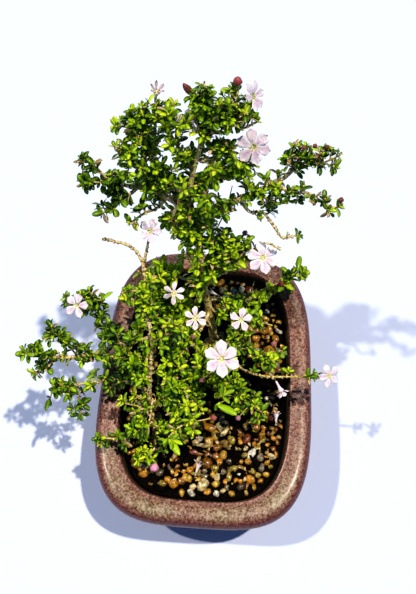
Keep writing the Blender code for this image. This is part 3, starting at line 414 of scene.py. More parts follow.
# Turn from one shoot of a twig to the next, and the first shoot of a side twig in millimetres
SHOOT_TURN = 2.4
SIDE_TWIG_FIRST = 1.5
# Gaps between clumps of leaves: size of the clumps, and the bareness above which no shoot grows
CLUMP_SIZE = 15 * MM
CROWN_HEIGHT = 112 * MM
CROWN_BARENESS = 0.29
LOW_BARENESS = 0.36
# Places that the photograph shows clear of leaves: middle, half width and half height in its pixels
CLEARINGS = [
    ((208, 314), 8, 30), ((153, 385), 3, 62), ((243, 281), 24, 12), ((277, 322), 13, 28),
    ((262, 340), 12, 9), ((277, 377), 30, 3), ((228, 190), 7, 9), ((246, 224), 12, 10),
    ((170, 199), 5, 6), ((105, 152), 10, 5), ((139, 258), 12, 14), ((204, 74), 18, 10),
    ((188, 76), 7, 12)]
# A bloom's ways to the camera and to the brighter sun are kept clear, this many times its own radius wide
CAMERA_WAY = 1.05
SUN_WAY = 1.2
# Petal outline, with a small notch at each side of its pointed tip
PETAL_STATIONS = [
    (0.0, 0.30), (0.12, 0.38), (0.30, 0.64), (0.52, 0.92), (0.70, 1.0), (0.82, 0.80), (0.88, 0.44),
    (0.95, 0.24), (1.0, 0.03)]
PETAL_ACROSS = [-1.0, -0.5, 0.0, 0.5, 1.0]
PETAL_THICKNESS = 0.14 * MM
PETAL_FOOT = 1.0 * MM
PETAL_CUP = 0.05
PETAL_RIPPLE = 0.03
# Random change of each lobe
RISE_CHANGE = (-0.10, 0.14)
RECURVE_CHANGE = (-0.06, 0.12)
LEAN_CHANGE = (-0.08, 0.08)
WAVE_RANGE = (-0.5, 2.5)
LITTER_COUNT = 34
LITTER_LENGTHS = (3.5, 6.5)
LITTER_BREADTH = 0.42
LITTER_TINTS = (0.92, 1.0)
LITTER_LIFT = 2.2 * MM
# Rosette at a shoot's tip: size, spread and rise of each pair of leaves
TUFT_PAIRS = [(1.0, 1.0, 0.25), (0.86, 0.9, 0.6), (0.55, 0.6, 1.0)]
# Tube of a bloom and its throat: part of the tube's length, and radius in millimetres
TUBE_STATIONS = [(0.0, 0.55), (0.45, 0.62), (0.75, 1.0), (0.95, 1.6), (1.0, 1.75)]
THROAT_STATIONS = [(0.98, 1.3), (0.94, 0.5)]
ANTHER_COUNT = 5
ANTHER_RING, ANTHER_RISE = 0.7 * MM, 0.15 * MM
ANTHER_RADIUS, ANTHER_HALF = 0.26 * MM, 0.45 * MM
SEPAL_COUNT = 5
SEPAL_LENGTH, SEPAL_WIDTH = 2.2 * MM, 0.7 * MM
SEPAL_DROP = 0.3 * MM
SEPAL_TINTS = {"bloom": 0.5, "bud": 0.35}

# Seeds of the random draws
SEEDS = {
    "soil": 21, "pebbles": 4, "litter": 8, "trunk": 55, "second_stem": 77, "sprays": 300, "fallen": 40}
# Kinds of stem: number of sides, how young the wood is at base and tip, and how much knobs swell it
STEM_KINDS = {
    "trunk": (14, (0.8, 0.6), 0.30),
    "limb": (10, (0.2, 0.3), 0.40),
    "second stem": (10, (0.0, 0.3), 0.30),
    "prong": (8, (0.2, 0.5), 0.40),
    "twig": (7, (0.1, 0.9), 0.35),
    "sprig": (6, (0.1, 0.9), 0.20),
    "stalk": (6, (0.6, 1.0), 0.0),
    "bud stalk": (5, (0.5, 0.9), 0.0),
    "shoot": (5, (0.5, 1.0), 0.0),
    "bare twig": (5, (0.0, 1.0), 0.0),
}
KNOB_SCALE = 420
# Radii of the thin stems at base and tip, in millimetres
SPRIG_RADII = (0.7, 0.4)
STALK_RADII = (0.5, 0.42)
BUD_STALK_RADII = (0.4, 0.4)
LEAF_STALK_RADII = (0.4, 0.35)
SHOOT_RADII = (0.42, 0.28)
BARE_RADII = (0.32, 0.2)
TWIG_TIP_RADIUS = 0.42
SIDE_TWIG_RADIUS, SIDE_NUB_RADIUS = 0.65, 0.6
# Sides and rings of the round pieces
TUBE_SIDES = 12
DRAIN_SIDES = 48
BUD_SHAPE = (15, 10)
NUB_SHAPE = (7, 5)
ANTHER_SHAPE = (6, 5)
CRUMB_SHAPE = (6, 4)
# Slots of the materials on a leafy piece, and on a bloom
LEAF_SLOT, BARK_SLOT, BUD_SLOT = 0, 1, 2
PETAL_SLOT, SEPAL_SLOT, ANTHER_SLOT = 0, 1, 2


def vector(point):
    return Vector(point) * MM


def clamp(value, low=0.0, high=1.0):
    return max(low, min(high, value))


def camera_axes():
    forward = Vector((
        math.sin(CAMERA_YAW) * math.cos(CAMERA_DOWN), math.cos(CAMERA_YAW) * math.cos(CAMERA_DOWN),
        -math.sin(CAMERA_DOWN)))
    right = Vector((math.cos(CAMERA_YAW), -math.sin(CAMERA_YAW), 0))
    return right, right.cross(forward), forward


def seen_at(pixel, height):
    """The point at a height above the pot's underside that the photograph shows at a pixel."""
    right, up, forward = camera_axes()
    across, down = pixel[0] - PHOTO_WIDTH / 2, pixel[1] - PHOTO_HEIGHT / 2
    ray = forward * FOCAL_PIXELS + right * across - up * down
    return CAMERA_PLACE + ray * ((height - CAMERA_PLACE.z) / ray.z)


def pixel_of(point):
    """The photograph's pixel that shows a point."""
    right, up, forward = camera_axes()
    reach = point - CAMERA_PLACE
    scale = FOCAL_PIXELS / reach.dot(forward)
    return PHOTO_WIDTH / 2 + scale * reach.dot(right), PHOTO_HEIGHT / 2 - scale * reach.dot(up)


# Shader helpers

class Shader:
    """A Principled material, with short calls for the nodes that this scene uses."""

    def __init__(self, name, roughness, **constants):
        self.material = bpy.data.materials.new(name)
        self.material.use_nodes = True
        self.tree = self.material.node_tree
        self.surface = self.tree.nodes["Principled BSDF"]
        self.surface.inputs["Roughness"].default_value = roughness
        for socket, value in constants.items():
            self.surface.inputs[socket.replace("_", " ")].default_value = value
        self.place = self.tree.nodes.new("ShaderNodeTexCoord").outputs["Object"]

    def put(self, value, socket):
        """Links an output to a socket, or sets the socket to a number or colour."""
        if isinstance(value, bpy.types.NodeSocket):
            self.tree.links.new(value, socket)
        elif isinstance(value, tuple):
            socket.default_value = (*value, 1.0)
        else:
            socket.default_value = value

    def node(self, kind, output, inputs=None, **settings):
        """One output of a new node, with links, numbers or colours put into its inputs."""
        made = self.tree.nodes.new("ShaderNode" + kind)
        for name, value in settings.items():
            setattr(made, name, value)
        for key, value in (inputs or {}).items():
            self.put(value, made.inputs[key])
        return made.outputs[output]

    def noise(self, scale, detail=3.0, stretch=None):
        place = self.place
        if stretch:
            place = self.node("Mapping", "Vector", {"Vector": place, "Scale": Vector(stretch)})
        return self.node("TexNoise", "Fac", {"Scale": scale, "Detail": detail, "Vector": place})

    def cells(self, scale):
        return self.node("TexVoronoi", "Distance", {"Scale": scale, "Vector": self.place})

    def value(self, name):
        return self.node("Attribute", "Fac", attribute_name=name)

    def scaled(self, value, low, high, to_low=0.0, to_high=1.0):
        return self.node("MapRange", "Result", {
            "Value": value, "From Min": low, "From Max": high, "To Min": to_low, "To Max": to_high})

    def operate(self, operation, first, second=0.0):
        return self.node("Math", "Value", {0: first, 1: second}, operation=operation)

    def times(self, first, second):
        return self.operate("MULTIPLY", first, second)

    def plus(self, first, second):
        return self.operate("ADD", first, second)

    def absolute(self, value):
        return self.operate("ABSOLUTE", value)

    def ramp(self, factor, stops, constant=False):
        node = self.tree.nodes.new("ShaderNodeValToRGB")
        ramp = node.color_ramp
        if constant:
            ramp.interpolation = "CONSTANT"
        while len(ramp.elements) < len(stops):
            ramp.elements.new(1.0)
        for element, (position, colour) in zip(ramp.elements, stops):
            element.position = position
            element.color = (*colour, 1.0)
        self.put(factor, node.inputs["Fac"])
        return node.outputs["Color"]

    def mix(self, factor, first, second):
        return self.node("Mix", 2, {0: factor, 6: first, 7: second}, data_type="RGBA")

    def colour(self, value):
        self.put(value, self.surface.inputs["Base Color"])

    def roughness(self, value):
        self.put(value, self.surface.inputs["Roughness"])

    def bump(self, height, distance, strength=1.0):
        normal = self.node("Bump", "Normal", {"Distance": distance, "Strength": strength, "Height": height})
        self.put(normal, self.surface.inputs["Normal"])


def make_glaze():
    """Dusty red glaze: beige-grey clouds on the crest, pale streaks partly of painted highlight, dark
    specks, an outer edge darkened partly by painted shade, a dull inner wall darkened by painted shade and a
    bare foot.
    """
    shader = Shader("glaze", 0.3, Coat_Weight=0.15, Coat_Roughness=0.2)
    clouds = shader.noise(60, 5)
    mottle = shader.noise(850, 5)
    fine = shader.noise(1900, 3)
    red = shader.ramp(mottle, [
        (0.34, (0.080, 0.011, 0.010)), (0.46, (0.185, 0.064, 0.046)), (0.62, (0.37, 0.205, 0.155))])
    beige = shader.ramp(mottle, [
        (0.36, (0.12, 0.054, 0.032)), (0.46, (0.21, 0.162, 0.080)), (0.62, (0.38, 0.32, 0.18))])
    crest = shader.value("crest")
    cloudy = shader.times(shader.value("near"), shader.scaled(clouds, 0.34, 0.62, 0.15, 1.0))
    body = shader.mix(shader.times(crest, cloudy), red, beige)
    # Pale streaks along the crest: partly the glaze's own streaking, partly painted highlight along the lit
    # rim
    streaks = shader.noise(420, 4, (1.0, 0.22, 1.0))
    pale = shader.times(shader.scaled(fine, 0.46, 0.62), shader.scaled(streaks, 0.44, 0.62))
    body = shader.mix(shader.times(shader.times(crest, pale), 0.9), body, (0.54, 0.44, 0.36))
    # Darker towards the outer edge: partly the glaze's dark red, partly painted shade of the rolled lip
    body = shader.mix(shader.times(shader.value("edge"), 0.7), body, (0.095, 0.009, 0.010))
    specks = shader.scaled(shader.cells(620), 0.10, 0.22, 1.0, 0.0)
    body = shader.mix(shader.times(specks, 0.75), body, (0.045, 0.006, 0.006))
    body = shader.mix(shader.value("lip"), body, (0.10, 0.085, 0.03))
    # The inner wall is dull like bare clay; its near-black colour is painted shade in the pot's hollow
    inner = shader.ramp(mottle, [(0.3, (0.02, 0.016, 0.01)), (0.7, (0.09, 0.075, 0.045))])
    body = shader.mix(shader.value("inside"), body, inner)
    clay = shader.ramp(mottle, [(0.3, (0.12, 0.07, 0.045)), (0.7, (0.26, 0.17, 0.11))])
    foot = shader.value("foot")
    shader.colour(shader.mix(foot, body, clay))
    dull = shader.operate("MAXIMUM", foot, shader.value("inside"))
    shader.roughness(shader.scaled(dull, 0.0, 1.0, 0.40, 0.75))
    shader.bump(shader.plus(shader.noise(240, 4), shader.times(fine, 0.3)), 0.5 * MM, 0.6)
    return shader.material


def make_soil_material():
    shader = Shader("soil", 0.95, Specular_IOR_Level=0.12)
    grain = shader.noise(900, 5)
    shader.colour(shader.ramp(grain, [
        (0.3, (0.0015, 0.0012, 0.001)), (0.55, (0.007, 0.005, 0.0035)), (0.75, (0.026, 0.018, 0.011))]))
    shader.bump(grain, 0.8 * MM)
    return shader.material


def make_stone():
    """Smooth river stones: the stone value picks a colour, and noise clouds it."""
    shader = Shader("stone", 0.34, Coat_Weight=0.3, Coat_Roughness=0.15)
    count = len(STONE_COLOURS) + 1
    stops = [(i / count, colour) for i, (colour, _) in enumerate(STONE_COLOURS)]
    stops.append((len(STONE_COLOURS) / count, TURQUOISE))
    base = shader.ramp(shader.value("stone"), stops, constant=True)
    cloud = shader.noise(520, 4)
    dark = shader.mix(0.68, base, (0.03, 0.015, 0.006))
    light = shader.mix(0.10, base, (0.75, 0.54, 0.26))
    body = shader.mix(shader.scaled(cloud, 0.36, 0.62), dark, light)
    shader.colour(body)
    shader.bump(shader.noise(1400, 3), 0.15 * MM, 0.5)
    return shader.material


def make_bark():
    """Tan bark with dark cracks, greener where the wood is young."""
    shader = Shader("bark", 0.75)
    grain = shader.noise(900, 5)
    patches = shader.noise(260, 3)
    old = shader.ramp(grain, [
        (0.32, (0.11, 0.065, 0.025)), (0.45, (0.52, 0.37, 0.17)), (0.60, (0.88, 0.73, 0.46))])
    green = shader.ramp(grain, [
        (0.32, (0.14, 0.10, 0.015)), (0.46, (0.54, 0.42, 0.09)), (0.62, (0.88, 0.74, 0.32))])
    young = shader.plus(shader.value("young"), shader.scaled(patches, 0.4, 0.6, -0.35, 0.35))
    shader.colour(shader.mix(shader.scaled(young, 0.0, 1.0), old, green))
    shader.bump(grain, 0.5 * MM)
    return shader.material


def make_leaf():
    """Glossy leaves from black-green to lime, with a paler midrib; the highest tints are dry and tan."""
    shader = Shader("leaf", 0.36, Specular_IOR_Level=0.45)
    mottle = shader.noise(900, 3)
    tint = shader.plus(shader.value("tint"), shader.scaled(mottle, 0.3, 0.7, -0.035, 0.035))
    body = shader.ramp(tint, [
        (0.0, (0.020, 0.051, 0.004)), (0.25, (0.062, 0.136, 0.005)), (0.50, (0.190, 0.330, 0.008)),
        (0.70, (0.385, 0.580, 0.012)), (0.84, (0.600, 0.770, 0.025)), (0.90, (0.76, 0.76, 0.05)),
        (0.93, (0.26, 0.16, 0.06)), (1.0, (0.66, 0.50, 0.30))])
    rib = shader.scaled(shader.absolute(shader.value("across")), 0.03, 0.16, 0.40, 0.0)
    shader.colour(shader.mix(rib, body, (0.26, 0.42, 0.05)))
    shader.roughness(shader.scaled(mottle, 0.3, 0.7, 0.24, 0.42))
    shader.bump(shader.noise(2200, 2), 0.06 * MM, 0.4)
    return shader.material


def make_petal():
    """White-pink lobes with lilac streaks near the base and a yellow-green throat."""
    shader = Shader("petal", 0.55, Sheen_Weight=0.15)
    along, across = shader.value("along"), shader.absolute(shader.value("across"))
    streaks = shader.noise(900, 3)
    patches = shader.scaled(shader.noise(260, 3), 0.38, 0.62)
    blush = shader.mix(patches, (0.85, 0.69, 0.76), (0.92, 0.87, 0.89))
    middle = shader.times(shader.scaled(across, 0.05, 0.7, 1.0, 0.0), shader.scaled(along, 0.78, 0.25))
    middle = shader.times(middle, shader.scaled(streaks, 0.38, 0.58, 0.15, 0.85))
    body = shader.mix(middle, blush, (0.56, 0.28, 0.52))
    body = shader.mix(shader.scaled(along, 0.02, 0.18, 1.0, 0.0), body, (0.88, 0.86, 0.48))
    body = shader.mix(shader.value("faded"), body, (0.62, 0.48, 0.38))
    shader.colour(body)
    shader.bump(shader.noise(1500, 2), 0.08 * MM, 0.4)
    return shader.material


def make_bud_material():
    """Closed buds: the tint runs from red-brown through dull red to pink."""
    shader = Shader("bud", 0.5)
    mottle = shader.noise(700, 3)
    tint = shader.plus(shader.value("tint"), shader.scaled(mottle, 0.3, 0.7, -0.08, 0.08))
    shader.colour(shader.ramp(tint, [
        (0.0, (0.10, 0.035, 0.02)), (0.2, (0.22, 0.07, 0.035)), (0.45, (0.38, 0.08, 0.075)),
        (0.7, (0.48, 0.26, 0.22)), (1.0, (0.80, 0.36, 0.52))]))
    shader.bump(mottle, 0.2 * MM, 0.5)
    return shader.material


def plain(name, colour, roughness, scale=900):
    """A material of one colour, broken by a little noise."""
    shader = Shader(name, roughness)
    dark = tuple(0.75 * part for part in colour)
    shader.colour(shader.mix(shader.noise(scale), dark, colour))
    return shader.material


# Mesh helpers

def scene_object(name, data):
    """Makes an object of the given data and puts it into the scene."""
    obj = bpy.data.objects.new(name, data)
    bpy.context.scene.collection.objects.link(obj)
    return obj


class Builder:
    """Collects the points, faces, material slots and per-point values of one piece."""

    def __init__(self):
        self.verts, self.faces, self.slots = [], [], []
        self.values = {}

    def add(self, verts, faces, slot=0, **values):
        start = len(self.verts)
        self.verts.extend(verts)
        self.faces.extend(tuple(start + i for i in face) for face in faces)
        self.slots.extend([slot] * len(faces))
        for name in set(self.values) | set(values):
            column = self.values.setdefault(name, [])
            column.extend([0.0] * (start - len(column)))
            given = values.get(name, 0.0)
            column.extend(given if isinstance(given, list) else [given] * len(verts))

    def piece(self, name, materials, slot, *nodes):
        """Makes the object, which rides on the one body and stands for the given solids."""
        mesh = bpy.data.meshes.new(name)
        mesh.from_pydata([tuple(v) for v in self.verts], [], self.faces)
        for made in materials:
            mesh.materials.append(made)
        mesh.polygons.foreach_set("material_index", self.slots)
        for label, column in self.values.items():
            mesh.attributes.new(label, "FLOAT", "POINT").data.foreach_set("value", column)
        mesh.shade_smooth()
        obj = scene_object(name, mesh)
        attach(obj, "root")
        if nodes:
            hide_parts(*nodes)
        return obj


def perpendicular(direction, turn):
    """A unit vector square to the direction, turned about it."""
    start = direction.cross(Vector((0.31, 0.17, 1.0))).normalized()
    return Matrix.Rotation(turn, 3, direction) @ start


def smooth_route(points, step=1.5 * MM):
    """A Catmull-Rom curve through a route, with a point about every step."""
    ends = [points[0] * 2 - points[1]] + points + [points[-1] * 2 - points[-2]]
    curve = []
    for a, b, c, d in zip(ends, ends[1:], ends[2:], ends[3:]):
        count = max(2, round((c - b).length / step))
        for i in range(count):
            t = i / count
            curve.append(0.5 * ((2 * b) + (c - a) * t + (2 * a - 5 * b + 4 * c - d) * t ** 2
                                + (3 * b - a - 3 * c + d) * t ** 3))
    return curve + [points[-1].copy()]


def route_length(route):
    return sum((b - a).length for a, b in zip(route, route[1:]))


def frame_on(route, distance):
    """The point and the direction at a distance along a route."""
    for a, b in zip(route, route[1:]):
        step = (b - a).length
        if distance <= step:
            return a + (b - a) * (distance / step), (b - a).normalized()
        distance -= step
    return route[-1].copy(), (route[-1] - route[-2]).normalized()


def turned_to(axis):
    """The turn that points +Z along an axis."""
    return axis.to_track_quat("Z", "Y").to_matrix().to_4x4()


def ball_place(point, axis, radius, half):
    """Places a unit ball at a point, with its own half length along an axis."""
    return Matrix.Translation(point) @ turned_to(axis) @ Matrix.Diagonal((radius, radius, half, 1.0))


def ring_faces(rings, sides):
    """Faces of a closed loft: its two ends, then the faces between one ring of points and the next."""
    faces = [tuple(range(sides))[::-1], tuple((rings - 1) * sides + s for s in range(sides))]
    for r in range(rings - 1):
        low, high = r * sides, (r + 1) * sides
        for s in range(sides):
            t = (s + 1) % sides
            faces.append((low + s, low + t, high + t, high + s))
    return faces


def circle(side, other, sides):
    """Unit vectors all round, in the plane of two square ones."""
    turns = [2 * math.pi * s / sides for s in range(sides)]
    return [side * math.cos(turn) + other * math.sin(turn) for turn in turns]


def add_stem(builder, route, kind, base, tip):
    """A tapered stem with closed ends, from its two radii in millimetres. Knobs swell it unevenly."""
    sides, (young, tip_young), knobs = STEM_KINDS[kind]
    base, tip = base * MM, tip * MM
    side = perpendicular((route[1] - route[0]).normalized(), 0.0)
    verts, values = [], []
    last = len(route) - 1
    for i, point in enumerate(route):
        ahead = (route[min(i + 1, last)] - route[max(i - 1, 0)]).normalized()
        side = (side - ahead * side.dot(ahead)).normalized()
        part = i / last
        size = base + (tip - base) * part
        for out in circle(side, ahead.cross(side), sides):
            swell = 1.0 + knobs * noise.noise((point + out * size) * KNOB_SCALE)
            verts.append(point + out * (size * swell))
        values += [young + (tip_young - young) * part] * sides
    builder.add(verts, ring_faces(len(route), sides), BARK_SLOT, young=values)


def add_ball(builder, matrix, shape, slot, rough=0.0, seed=0.0, **values):
    """A lumpy ellipsoid: the matrix places and stretches a unit ball."""
    sides, rings = shape
    verts = [Vector((0, 0, -1))]
    for r in range(1, rings):
        level = math.pi * r / rings
        for s in range(sides):
            angle = 2 * math.pi * s / sides
            verts.append(Vector((math.sin(level) * math.cos(angle), math.sin(level) * math.sin(angle),
                                 -math.cos(level))))
    verts.append(Vector((0, 0, 1)))
    if rough:
        shift = Vector((seed, 2 * seed, 3 * seed))
        verts = [v * (1.0 + rough * noise.noise(v * 1.3 + shift)) for v in verts]
    top = len(verts) - 1
    faces = [(0, 1 + (s + 1) % sides, 1 + s) for s in range(sides)]
    for r in range(rings - 2):
        low, high = 1 + r * sides, 1 + (r + 1) * sides
        faces += [(low + s, low + (s + 1) % sides, high + (s + 1) % sides, high + s) for s in range(sides)]
    base = 1 + (rings - 2) * sides
    faces += [(base + s, base + (s + 1) % sides, top) for s in range(sides)]
    builder.add([matrix @ v for v in verts], faces, slot, **values)


def leaf_faces():
    """Faces of a closed thin leaf: foot, then left, upper, lower and right at each station, then tip."""
    count = len(LEAF_STATIONS)
    tip = 1 + 4 * count
    faces = []
    for k in range(count - 1):
        left, upper, lower, right = (1 + 4 * k + i for i in range(4))
        faces += [(upper, right, right + 4, upper + 4), (left, upper, upper + 4, left + 4)]
        faces += [(lower, lower + 4, right + 4, right), (left, left + 4, lower + 4, lower)]
    faces += [(0, 4, 2), (0, 2, 1), (0, 3, 4), (0, 1, 3)]
    left, upper, lower, right = (tip - 4 + i for i in range(4))
    faces += [(upper, right, tip), (left, upper, tip), (lower, tip, right), (left, tip, lower)]
    return faces


LEAF_FACES = leaf_faces()


def add_leaf(builder, base, along, up, length, width, tint, slot=0, fold=0.22, droop=0.16):
    """One leaf, folded a little along its midrib and arched down to its tip."""
    along = along.normalized()
    side = along.cross(up).normalized()
    face = side.cross(along)

    def spine(part):
        rise = LEAF_ARCH * part - (LEAF_ARCH + droop) * part ** 2
        return base + along * (length * part) + face * (length * rise)

    verts, across = [base], [0.0]
    for part, reach in LEAF_STATIONS:
        middle, out = spine(part), side * (0.5 * width * reach)
        edge = face * (fold * 0.5 * width * reach)
        verts += [middle - out + edge, middle + face * LEAF_THICKNESS, middle - face * LEAF_THICKNESS,
                  middle + out + edge]
        across += [-1.0, 0.0, 0.0, 1.0]
    verts.append(spine(1.0))
    across.append(0.0)
    ends = (verts[0], verts[-1])
    if not fits(verts) or hides_bloom(ends, to_sun=True) or any(in_clearing(end) for end in ends):
        return
    builder.add(verts, LEAF_FACES, slot, tint=tint, across=across)


def in_clearing(point):
    """True in the places that the photograph shows clear of leaves."""
    x, y = pixel_of(point)
    for (middle_x, middle_y), wide, high in CLEARINGS:
        if ((x - middle_x) / wide) ** 2 + ((y - middle_y) / high) ** 2 < 1.0:
            return True
    return False


def is_bare(point):
    """True in the gaps between clumps of leaves, which are wider in the crown."""
    limit = CROWN_BARENESS if point.z > CROWN_HEIGHT else LOW_BARENESS
    return noise.noise(point / CLUMP_SIZE) > limit


def hides_bloom(points, to_sun=False):
    """True where a point hides a bloom from the camera or the brighter sun. One bloom stays hidden."""
    for name, (_, centre, _, radius, _) in FLOWERS.items():
        if name == "flower_hidden":
            continue
        middle = vector(centre)
        ways = [((CAMERA_PLACE - middle).normalized(), CAMERA_WAY)]
        if to_sun:
            ways.append((-Vector(KEY_LIGHT[0]).normalized(), SUN_WAY))
        for towards, wide in ways:
            for point in points:
                reach = point - middle
                above = reach.dot(towards)
                if above > GAP and (reach - towards * above).length < wide * radius * MM:
                    return True
    return False


def trimmed(route):
    """A route up to the first point that would stand before a bloom."""
    for i, point in enumerate(route):
        if i > 3 and hides_bloom([point]):
            return route[:i]
    return route


def superellipse_reach(point, inset):
    """Under 1 inside the pot's rounded rectangle at that inset, and over 1 outside it."""
    x = abs(point.x) / (POT_HALF_WIDTH - inset)
    y = abs(point.y) / (POT_HALF_LENGTH - inset)
    return (x ** POT_SQUARENESS + y ** POT_SQUARENESS) ** (1 / POT_SQUARENESS)


def soil_height(x, y):
    reach = max(abs(x) / (POT_HALF_WIDTH - SOIL_INSET), abs(y) / (POT_HALF_LENGTH - SOIL_INSET))
    return SOIL_EDGE_Z + SOIL_CROWN * (1.0 - min(reach, 1.0) ** 2)


def fits(points):
    """True where a shape is inside the model's box and clear of the pot and the soil."""
    low, high = CAD_BOX
    for point in points:
        if any(not low[i] <= point[i] <= high[i] for i in range(3)):
            return False
        if point.z > POT_HEIGHT + GAP:
            continue
        over_soil = superellipse_reach(point, WALL_INSET) <= 1.0
        if over_soil and point.z < soil_height(point.x, point.y) + GAP:
            return False
        if not over_soil and superellipse_reach(point, -GAP) < 1.0:
            return False
    return True


# Pot, screens, soil and pebbles

def ring_point(inset, z, angle):
    power = 2.0 / POT_SQUARENESS
    cos, sin = math.cos(angle), math.sin(angle)
    x = (POT_HALF_WIDTH - inset) * math.copysign(abs(cos) ** power, cos)
    y = (POT_HALF_LENGTH - inset) * math.copysign(abs(sin) ** power, sin)
    return Vector((x, y, z))


def ring(inset, z):
    """All points of the pot's rounded rectangle at an inset and height."""
    return [ring_point(inset, z, 2 * math.pi * i / POT_SIDES) for i in range(POT_SIDES)]


def pot_profile():
    """The wall from the foot over the rim to the floor inside, as finely spaced insets and heights."""
    corners = [Vector((inset, 0, z)) * MM for inset, z in POT_OUTSIDE + POT_INSIDE]
    fine = []
    for point in smooth_route(corners, 1.2 * MM):
        fine.append((max(point.x, 0.0), min(max(point.z, 0.0), POT_HEIGHT)))
    return fine


def zone_value(distance, zone):
    """Rises from 0 to 1 over a zone, given as its start and width in millimetres."""
    start, width = zone
    return clamp((distance - start * MM) / (width * MM))


def glaze_values(inset, z, inward, y):
    """The glaze values of a point of the pot, such as how far it is on the crest or at the near end."""
    middle, half_width = CREST_MIDDLE
    top = zone_value(z, CREST_LEVEL) * clamp(1.0 - abs(inset - middle * MM) / (half_width * MM))
    edge, fading = SHADED_OUTER_EDGE
    return {
        "crest": min(1.0, CREST_GAIN * top),
        "near": max(NEAR_LEAST, zone_value(-y, NEAR_END)),
        "edge": 0.0 if inward else clamp((edge * MM - inset) / (fading * MM)),
        "lip": 1.0 if not inward and LIP_LOW < z < LIP_HIGH else 0.0,
        "inside": zone_value(inset, INNER_WALL) if inward else 0.0,
        "foot": 1.0 if z < FOOT_HIGH and not inward else 0.0,
    }


def make_pot(glaze):
    """The pot as a fine loft, with its drains cut."""
    builder = Builder()
    profile = pot_profile()
    verts, values = [], {}
    inward = False
    for inset, z in profile:
        inward = inward or (z > POT_CREST_Z and inset > POT_CREST_INSET)
        for point in ring(inset, z):
            verts.append(point)
            for name, value in glaze_values(inset, z, inward, point.y).items():
                values.setdefault(name, []).append(value)
    builder.add(verts, ring_faces(len(profile), POT_SIDES), **values)
    pot = builder.piece("pot_fine", [glaze], "glaze", "pot")
    cut_drains(pot)
    pot.data.set_sharp_from_angle(angle=POT_SHARPNESS)


def cut_drains(pot):
    """Cuts the drain holes and the grooves under them, as in the model."""
    cutters = []
    for y in (-DRAIN_Y, DRAIN_Y):
        bpy.ops.mesh.primitive_cylinder_add(
            vertices=DRAIN_SIDES, radius=DRAIN_RADIUS, depth=4 * POT_FLOOR_Z, location=(0, y, 0))
        cutters.append(bpy.context.object)
        bpy.ops.mesh.primitive_cube_add(size=1.0, location=(0, y, 0))
        cutters.append(bpy.context.object)
        cutters[-1].scale = (3 * POT_HALF_WIDTH, DRAIN_GROOVE_WIDTH, 2 * DRAIN_GROOVE_DEPTH)
    for cutter in cutters:
        modifier = pot.modifiers.new("cut", "BOOLEAN")
        modifier.object = cutter
        modifier.solver = "EXACT"
    bpy.context.view_layer.update()
    graph = bpy.context.evaluated_depsgraph_get()
    cut_mesh = bpy.data.meshes.new_from_object(pot.evaluated_get(graph))
    pot.modifiers.clear()
    pot.data = cut_mesh
    for cutter in cutters:
        bpy.data.objects.remove(cutter)


def add_box(builder, centre, size):
    corners = [Vector((x, y, z)) for x in (-0.5, 0.5) for y in (-0.5, 0.5) for z in (-0.5, 0.5)]
    verts = [Vector(centre) + Vector((c.x * size[0], c.y * size[1], c.z * size[2])) for c in corners]
    faces = [(0, 1, 3, 2), (4, 6, 7, 5), (0, 4, 5, 1), (2, 3, 7, 6), (0, 2, 6, 4), (1, 5, 7, 3)]
    builder.add(verts, faces)


def make_screens(material):
    """A woven plastic mesh over each drain hole: one layer of bars on the other."""
    for side, y in (("near", -DRAIN_Y), ("far", DRAIN_Y)):
        builder = Builder()
        layer = SCREEN_THICKNESS / 2
        floor = POT_FLOOR_Z + GAP
        pitch = SCREEN_SIDE / SCREEN_BARS
        bar = SCREEN_BAR_PART * pitch
        for i in range(SCREEN_BARS):
            shift = (i + 0.5) * pitch - SCREEN_SIDE / 2
            add_box(builder, (shift, y, floor + 0.5 * layer), (bar, SCREEN_SIDE, layer))
            add_box(builder, (0, y + shift, floor + 1.5 * layer), (SCREEN_SIDE, bar, layer))
        name = "drain_screen_" + side
        screen = builder.piece(name + "_mesh", [material], "screen", name)
        screen.data.shade_flat()


def make_soil(material):
    """Dark crumbly soil that fills the pot, with loose crumbs on it."""
    builder = Builder()
    rings = [(inset * MM, z * MM) for inset, z in SOIL_WALL]
    verts = []
    for inset, z in rings:
        verts += ring(inset, z)
    for r in range(1, SOIL_RINGS):
        for edge_point in ring(rings[-1][0], 0.0):
            point = edge_point * (1.0 - r / SOIL_RINGS)
            rise = noise.noise(point * SOIL_LUMPS) + SOIL_GRAIN_PART * noise.noise(point * SOIL_GRAIN)
            verts.append(Vector((point.x, point.y, soil_height(point.x, point.y) + SOIL_BUMP * rise)))
    builder.add(verts, ring_faces(len(verts) // POT_SIDES, POT_SIDES))
    rng = random.Random(SEEDS["soil"])
    for i in range(CRUMB_COUNT):
        point, radius = random_soil_point(rng), rng.uniform(*CRUMB_RADII)
        add_ball(builder, stone_matrix(point, radius, rng), CRUMB_SHAPE, 0, rough=CRUMB_LUMPS, seed=i)
    builder.piece("soil_fine", [material], "soil", "soil")


def random_soil_point(rng):
    """A point on the soil, clear of the wall."""
    while True:
        x = rng.uniform(-1, 1) * (POT_HALF_WIDTH - DRAW_INSET)
        y = rng.uniform(-1, 1) * (POT_HALF_LENGTH - DRAW_INSET)
        if superellipse_reach(Vector((x, y, 0)), LITTER_INSET) < 1.0:
            return Vector((x, y, soil_height(x, y)))


def stone_matrix(point, radius, rng):
    """Lays a stone flat on the ground, turned at random and stretched along one axis."""
    spin, tip = rng.uniform(0, 2 * math.pi), rng.uniform(-0.5, 0.5)
    turn = Matrix.Rotation(spin, 4, "Z") @ Matrix.Rotation(tip, 4, "X")
    size = [radius * rng.uniform(*limits) for limits in (STONE_LENGTH, STONE_BREADTH, STONE_HEIGHT)]
    return Matrix.Translation(point + UP * (STONE_RISE * radius)) @ turn @ Matrix.Diagonal((*size, 1.0))


